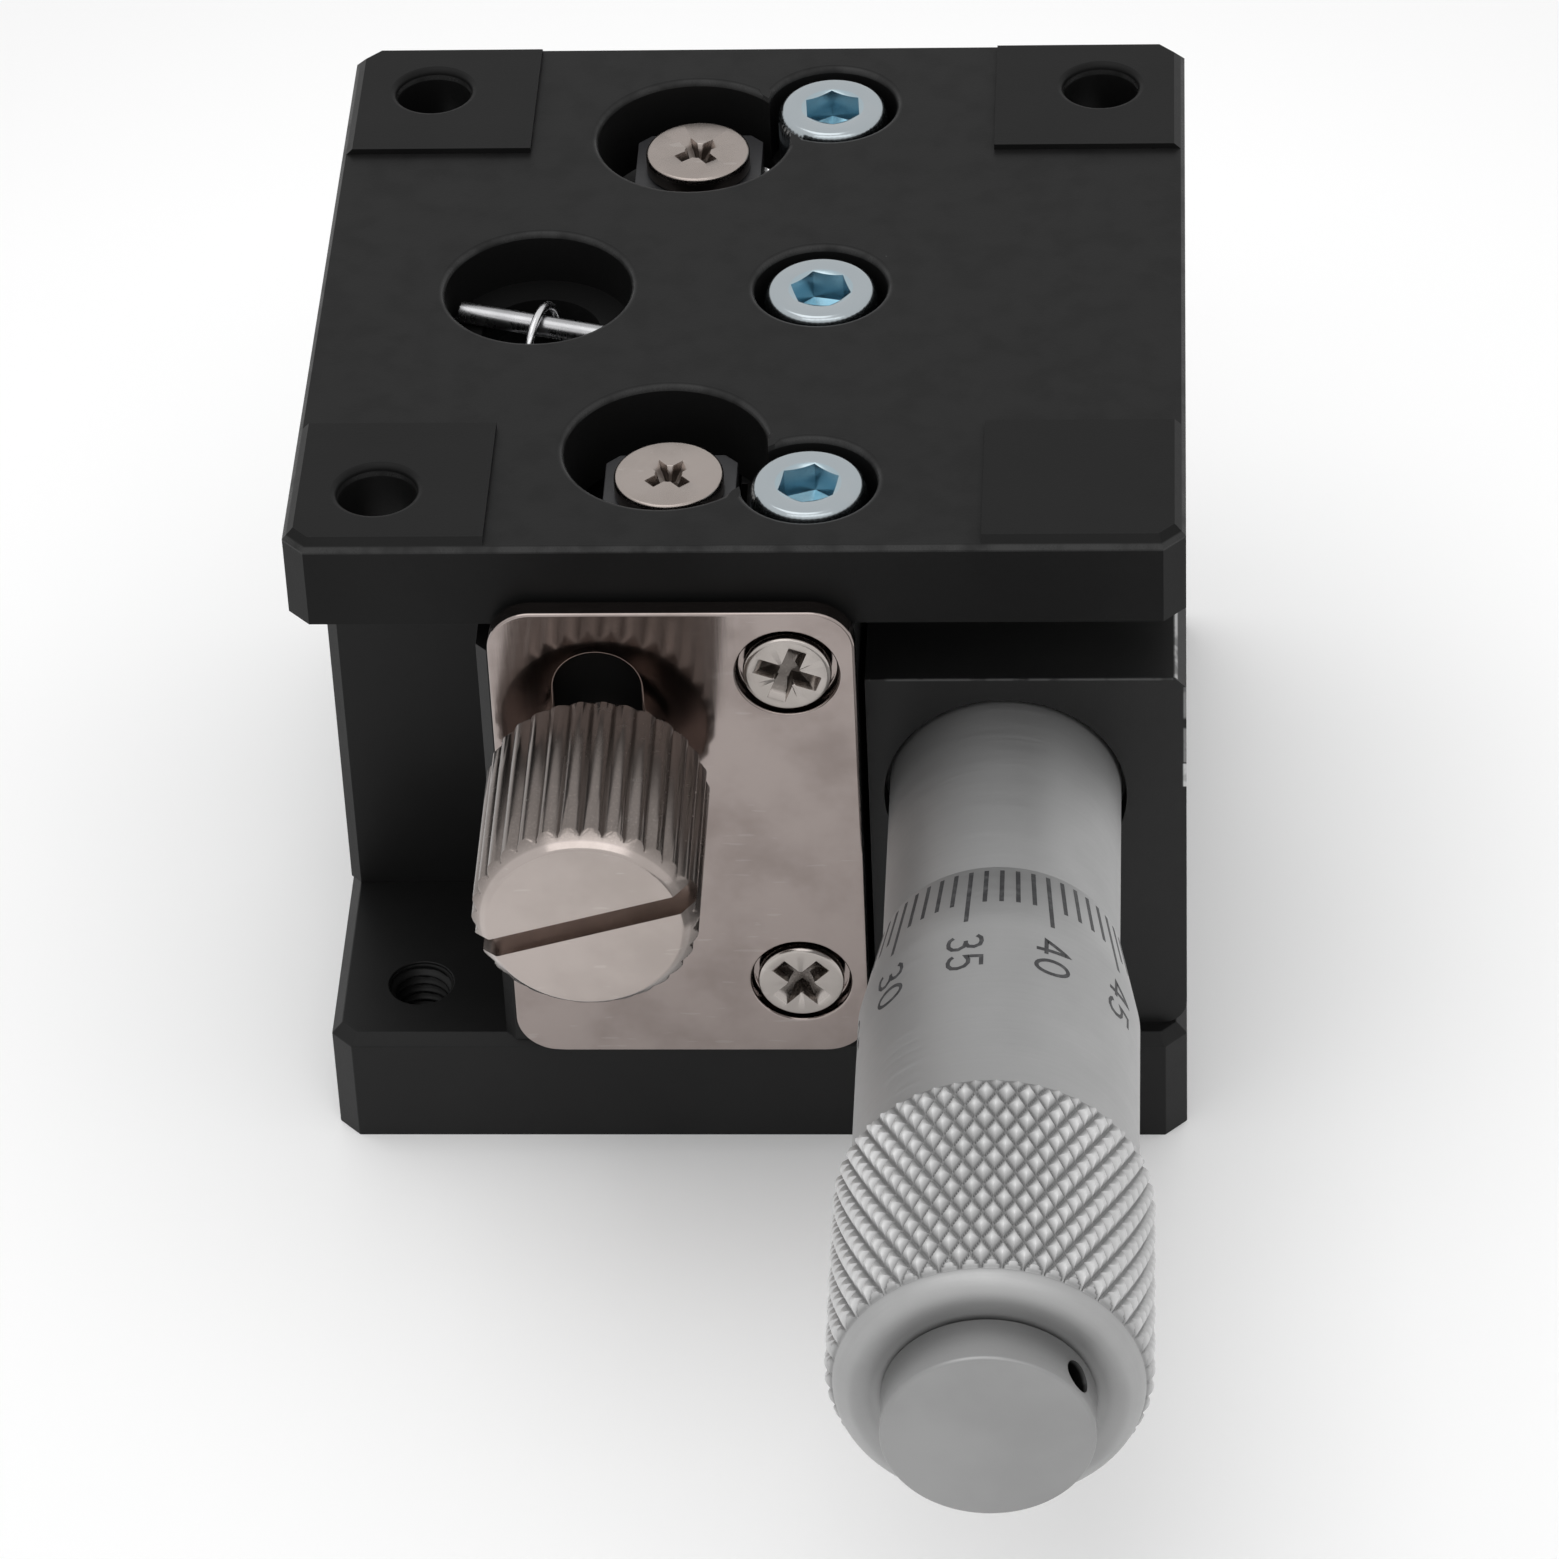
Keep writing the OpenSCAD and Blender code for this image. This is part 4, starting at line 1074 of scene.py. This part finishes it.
@dataclass
class Micrometer:
    """The micrometer head: sleeve, graduated thimble with its grip, and the end cap."""

    x: float = 11.8
    z: float = 19.7
    sleeve_r: float = 5.25
    stem_r: float = 4.75
    bore_r: float = 2.55
    block_front: float = 17.4
    sleeve_end: float = 45.0
    edge: float = 30.4
    full: float = 35.2
    edge_r: float = 5.36
    plain_r: float = 6.15
    grip_from: float = 45.7
    grip_to: float = 57.2
    grip_r: float = 6.85
    end: float = 58.1
    hollow_r: float = 5.3
    hollow_end: float = 51.4
    fade: float = 0.6
    diamonds: int = 47
    rows: int = 7
    knurl_depth: float = 0.38
    index_angle: float = -5.4
    cap_r: float = 4.45
    cap_end: float = 60.4
    cap_edge: float = 0.17
    spanner_r: float = 0.72
    spanner_at: float = 59.3
    spanner_angle: float = 33.0
    divisions: int = 50
    mark_from: float = 30.72
    mark_to: float = 33.3
    long_mark_to: float = 34.8
    number_at: float = 36.9
    digit_step: float = 1.24
    digit_h: float = 1.48
    line: float = 0.2
    stroke: float = 0.19
    index_from: float = 18.9
    index_to: float = 34.5
    scale_from: float = 25.4
    pitch: float = 0.5
    sleeve_marks: int = 20
    fine_line: float = 0.1
    half_mark_at: float = 0.35
    small_digit: tuple[float, float] = (0.8, 1.3)
    small_digit_at: tuple[float, float] = (-0.4, 2.1)
    small_stroke: float = 0.14

    def build(self) -> None:
        """Makes the sleeve, the thimble, its marks and the cap."""
        self.sleeve()
        self.thimble()
        self.graduations()
        self.cap()
        softened("spindle", "spindle", Finish.GROUND, 0.12)

    def seat(self, patch: Patch) -> Patch:
        """The patch turned from its own Z to the micrometer's axis."""
        return patch.moved(ALONG_MINUS_Y, (self.x, 0, self.z))

    def sleeve(self) -> None:
        """Sleeve and stem, with a chamfered shoulder at the block."""
        profile = [(self.bore_r, 8.9), (self.stem_r - 0.2, 8.9), (self.stem_r, 9.1),
                   (self.stem_r, self.block_front), (self.sleeve_r - 0.15, self.block_front),
                   (self.sleeve_r, self.block_front + 0.15),
                   (self.sleeve_r, self.sleeve_end - 0.2), (self.sleeve_r - 0.2, self.sleeve_end),
                   (self.bore_r, self.sleeve_end)]
        placed("sleeve_body", self.seat(turned(profile, 128, looped=True)), "frame",
               Finish.CHROME, ["sleeve"], 30)

    def grip(self, s: Points, angles: Points) -> Points:
        """Radius of the grip.

        With u and v the angle's share of the diamonds plus and minus the distance in rows,
        the height is the sine of the smaller of two triangle waves of u and v, so that each
        diamond is a rounded pyramid, and the radius is the root plus that height.
        """
        along = (s - self.grip_from) / (self.grip_to - self.grip_from) * self.rows
        u = angles[None] / TAU * self.diamonds + along[:, None]
        v = angles[None] / TAU * self.diamonds - along[:, None]
        tri = [1 - np.abs(2 * np.mod(w, 1) - 1) for w in (u, v)]
        height = np.sin(np.minimum(*tri) * TAU / 4) ** 0.9
        start = np.clip(along * 5, 0, 1)[:, None]
        knurled = self.grip_r - self.knurl_depth * (1 - height * start)
        return np.minimum(knurled, self.envelope(s)[:, None])

    def envelope(self, s: Points) -> Points:
        """Radius of the cone that cuts the diamonds down to their roots at the grip's end."""
        fall = np.clip((s - self.grip_to) / self.fade + 1, 0, 1)
        return self.grip_r - self.knurl_depth * fall ** 1.5

    def thimble(self) -> None:
        """Thimble as one surface from its inner step round the outside to its end face."""
        angles = around(self.diamonds * 12)
        root = self.grip_r - self.knurl_depth
        rings: list = [(self.bore_r + 0.02, self.hollow_end), (self.hollow_r, self.hollow_end),
                       (self.hollow_r, self.edge), (self.edge_r - 0.02, self.edge),
                       (self.edge_r, self.edge + 0.03), (self.plain_r, self.full),
                       (self.plain_r, self.grip_from - 0.12),
                       (self.plain_r + 0.05, self.grip_from), (root - 0.1, self.grip_from)]
        s = np.linspace(self.grip_from, self.grip_to, self.rows * 12 + 1)
        rings += zip(self.grip(s, angles), s)
        drop = self.end - self.grip_to - 0.02
        rings += [(root - 1.1 * (1 - math.cos(t)), self.end - drop * (1 - math.sin(t)))
                  for t in np.linspace(0, TAU / 4, 14)]
        rings += [(4.9, self.end - 0.02), (4.62, self.end - 0.12), (2.6, self.end - 0.14)]
        patch = starred(rings, angles, looped=True)
        placed("thimble_body", self.seat(patch), "thimble", Finish.CHROME, ["thimble"], 38)

    def radius_at(self, s: Points) -> Points:
        """Outer radius of the thimble's taper and plain part at a distance."""
        share = np.clip((s - self.edge) / (self.full - self.edge), 0, 1)
        return self.edge_r + (self.plain_r - self.edge_r) * share

    def ribbon(self, path: Points, width: float, centre: float,
               radius: Callable[[Points], Points]) -> Patch:
        """Thin closed band that lies on a round surface.

        Args:
            path: points (distance along the axis, arc length across it) in millimetres.
            width: the band's width.
            centre: angle in degrees about the axis from which the arc is measured.
            radius: the surface's radius at each distance.

        Returns:
            The band, 0.006 mm proud and 0.03 mm deep.
        """
        ahead = np.concatenate([path[1:] - path[:-1], path[-1:] - path[-2:-1]])
        behind = np.concatenate([path[1:2] - path[:1], path[1:] - path[:-1]])
        unit = [w / np.linalg.norm(w, axis=1, keepdims=True) for w in (ahead, behind)]
        mean = unit[0] + unit[1]
        mean /= np.linalg.norm(mean, axis=1, keepdims=True)
        stretch = 1 / np.maximum((mean * unit[0]).sum(1, keepdims=True), 0.5)
        side = np.stack([-mean[:, 1], mean[:, 0]], -1) * stretch * width / 2
        rings = []
        for offset, lift in ((side, 0.006), (-side, 0.006), (-side, -0.03), (side, -0.03)):
            flat = path + offset
            r = radius(flat[:, 0])
            a = math.radians(centre) - flat[:, 1] / r
            r = r + lift
            rings.append(np.stack([r * np.cos(a), r * np.sin(a), flat[:, 0]], -1))
        return lofted(np.stack(rings, 1))

    def lettered(self, text: str, at: Sequence[float], size: Sequence[float], width: float,
                 centre: float, radius: Callable[[Points], Points]) -> list[Patch]:
        """Bands of a number's strokes.

        Args:
            text: its digits.
            at: the first digit's lower corner, along the axis and across it.
            size: a digit's length along the axis and its height across it.
            width: a stroke's width.
            centre: as for a ribbon.
            radius: as for a ribbon.

        Returns:
            One band for each stroke.
        """
        return [self.ribbon(resampled(np.array(stroke) * size
                                      + (at[0] + self.digit_step * k, at[1])),
                            width, centre, radius)
                for k, digit in enumerate(text) for stroke in GLYPHS[digit]]

    def graduations(self) -> None:
        """Thimble's fifty divisions and numbers, and the sleeve's scale."""
        zero = self.index_angle
        bands = []
        for n in range(self.divisions):
            angle = zero + 360 / self.divisions * (self.divisions - n)
            label = str(n) if n % 5 == 0 else ""
            ends = np.array([[self.mark_from, 0.0],
                             [self.long_mark_to if label else self.mark_to, 0.0]])
            bands.append(self.ribbon(ends, self.line, angle, self.radius_at))
            start = self.number_at - self.digit_step / 2 * len(label)
            bands += self.lettered(label, (start + 0.12, -self.digit_h / 2),
                                   (1.0, self.digit_h), self.stroke, angle, self.radius_at)
        placed("thimble_marks", self.seat(joined(bands)), "thimble", Finish.INK, smooth=60)
        plain = self.plain_sleeve
        marks = [self.ribbon(np.array([[self.index_from, 0.0], [self.index_to, 0.0]]),
                             self.fine_line, zero, plain)]
        for k in range(self.sleeve_marks):
            s = self.scale_from + self.pitch * k
            low = self.half_mark_at * (k % 2)
            reach = 1.6 if k % 10 == 0 else (1.25 if k % 2 == 0 else 1.0)
            marks.append(self.ribbon(resampled(np.array([[s, low], [s, low + reach]])),
                                     self.fine_line, zero, plain))
        along, across = self.small_digit_at
        for number in (0, 5):
            marks += self.lettered(str(number), (self.scale_from + number + along, across),
                                   self.small_digit, self.small_stroke, zero, plain)
        placed("sleeve_marks", self.seat(joined(marks)), "frame", Finish.INK, smooth=60)

    def plain_sleeve(self, s: Points) -> Points:
        """The sleeve's radius, the same at every distance."""
        return np.full_like(s, self.sleeve_r)

    def cap(self) -> None:
        """End cap with a rounded rim and its spanner hole."""
        r, front, edge = self.cap_r, self.cap_end, self.cap_edge
        profile = [(0.0, self.end), (r, self.end)]
        profile += [(r - edge + edge * math.cos(t), front - edge + edge * math.sin(t))
                    for t in np.linspace(0, TAU / 4, 7)]
        profile.append((0.0, front))
        cap = placed("thimble_cap_body", self.seat(turned(profile, 128, capped=False)), "thimble",
                     Finish.CAP, ["thimble_cap"], 30)
        bore = turned([(0.0, 1.2), (self.spanner_r, 1.2), (self.spanner_r, 6.0), (0.0, 6.0)], 32,
                      capped=False)
        aim = math.radians(90 - self.spanner_angle)
        across = np.array([[math.cos(aim), 0, math.sin(aim)], [0, 1, 0],
                           [-math.sin(aim), 0, math.cos(aim)]])
        slotted(cap, bore.moved(across, (self.x, -self.spanner_at, self.z)).outward(), 30)


@dataclass
class Crank:
    """The bell crank with its pivot and its two contact pins."""

    def build(self) -> None:
        """Breaks the lever's edges and dresses its pins."""
        softened("lever", "lever", Finish.BLACK_STEEL, 0.08, 2)
        softened("lever_pin", "frame", Finish.GROUND, 0.1)
        for node in ("lever_push_pin", "lever_lift_pin"):
            softened(node, "lever", Finish.GROUND, 0.06, 2)


@dataclass
class Studio:
    """Pale floor, soft lights and the camera."""

    floor_half: float = 6000.0
    near: Colour = grey(0.975)
    far: Colour = grey(0.83)
    fade: tuple[float, float] = (40.0, 110.0)
    world: float = 0.9
    lens: float = 164.48
    place: tuple[float, float, float] = (19.75, -269.279, 224.043)
    elevation: float = 39.015
    azimuth: float = -4.154
    roll: float = -2.756

    def build(self) -> None:
        """Makes the stage and sets the render's colour management."""
        self.floor()
        self.sky()
        self.lights()
        self.camera()
        bpy.context.scene.view_settings.view_transform = "Standard"

    def floor(self) -> None:
        """Pale floor under the base, painted lighter near the stage and darker further out: a
        painted fall-off of light.
        """
        half = self.floor_half
        corners = [(-half, -half, 0), (half, -half, 0), (half, half, 0), (-half, half, 0)]
        mesh = Patch(np.array(corners), [[0, 1, 2, 3]]).mesh("floor")
        floor = linked("floor", mesh)
        g = Graph("floor")
        # Painted light fall-off: the floor's colour goes from near to far with distance from the
        # stage.
        tint = g.mixed(g.away("XY", (0, 0)).between(*self.fade), self.near, self.far)
        mesh.materials.append(g.finish(base_color=tint, roughness=0.9, specular_ior_level=0.0))

    def sky(self) -> None:
        """World: even pale grey from every side."""
        world = bpy.data.worlds.new("studio")
        bpy.context.scene.world = world
        world.use_nodes = True
        tree = world.node_tree
        tree.nodes.clear()
        even = tree.nodes.new("ShaderNodeBackground")
        even.inputs["Color"].default_value = (1, 1, 1, 1)
        even.inputs["Strength"].default_value = self.world
        out = tree.nodes.new("ShaderNodeOutputWorld")
        tree.links.new(even.outputs[0], out.inputs["Surface"])

    def lamp(self, name: str, place: Sequence[float], target: Sequence[float],
             size: tuple[float, float], power: float) -> None:
        """Adds a soft light, with places and sizes in metres and power in watts."""
        data = bpy.data.lights.new(name, "AREA")
        data.shape = "RECTANGLE"
        data.size, data.size_y = size
        data.energy = power
        aim = (Vector(target) - Vector(place)).to_track_quat("-Z", "Y")
        linked(name, data).matrix_world = Matrix.Translation(place) @ aim.to_matrix().to_4x4()

    def lights(self) -> None:
        """Large overhead light and a small soft one above the camera."""
        self.lamp("overhead", (-0.6, -0.1, 3.0), (0, 0, 0), (2.2, 2.2), 17.0)
        self.lamp("key", (0.03, -0.5, 0.62), (0, 0, 0.02), (1.0, 0.16), 0.6)

    def camera(self) -> None:
        """Camera whose axes come from its elevation, azimuth and roll in degrees."""
        e, a, r = (math.radians(v) for v in (self.elevation, self.azimuth, self.roll))
        ahead = np.array([math.sin(a) * math.cos(e), math.cos(a) * math.cos(e), -math.sin(e)])
        level = np.array([math.cos(a), -math.sin(a), 0.0])
        up = np.cross(level, ahead)
        right = math.cos(r) * level + math.sin(r) * up
        top = -math.sin(r) * level + math.cos(r) * up
        matrix = np.eye(4)
        matrix[:3, 0], matrix[:3, 1], matrix[:3, 2] = right, top, -ahead
        matrix[:3, 3] = np.array(self.place) * MM
        data = bpy.data.cameras.new("camera")
        data.lens = self.lens
        data.sensor_width = 36.0
        data.clip_start = 0.01
        data.clip_end = 20.0
        camera = linked("camera", data)
        camera.matrix_world = Matrix(matrix.tolist())
        bpy.context.scene.camera = camera


def main() -> None:
    """Builds the stage and the studio."""
    for group in (Casework(), Guides(), Fasteners(), ReturnSpring(), Clamp(), Micrometer(),
                  Crank(), Studio()):
        group.build()
    bpy.context.view_layer.update()


if __name__ == "__main__":
    main()
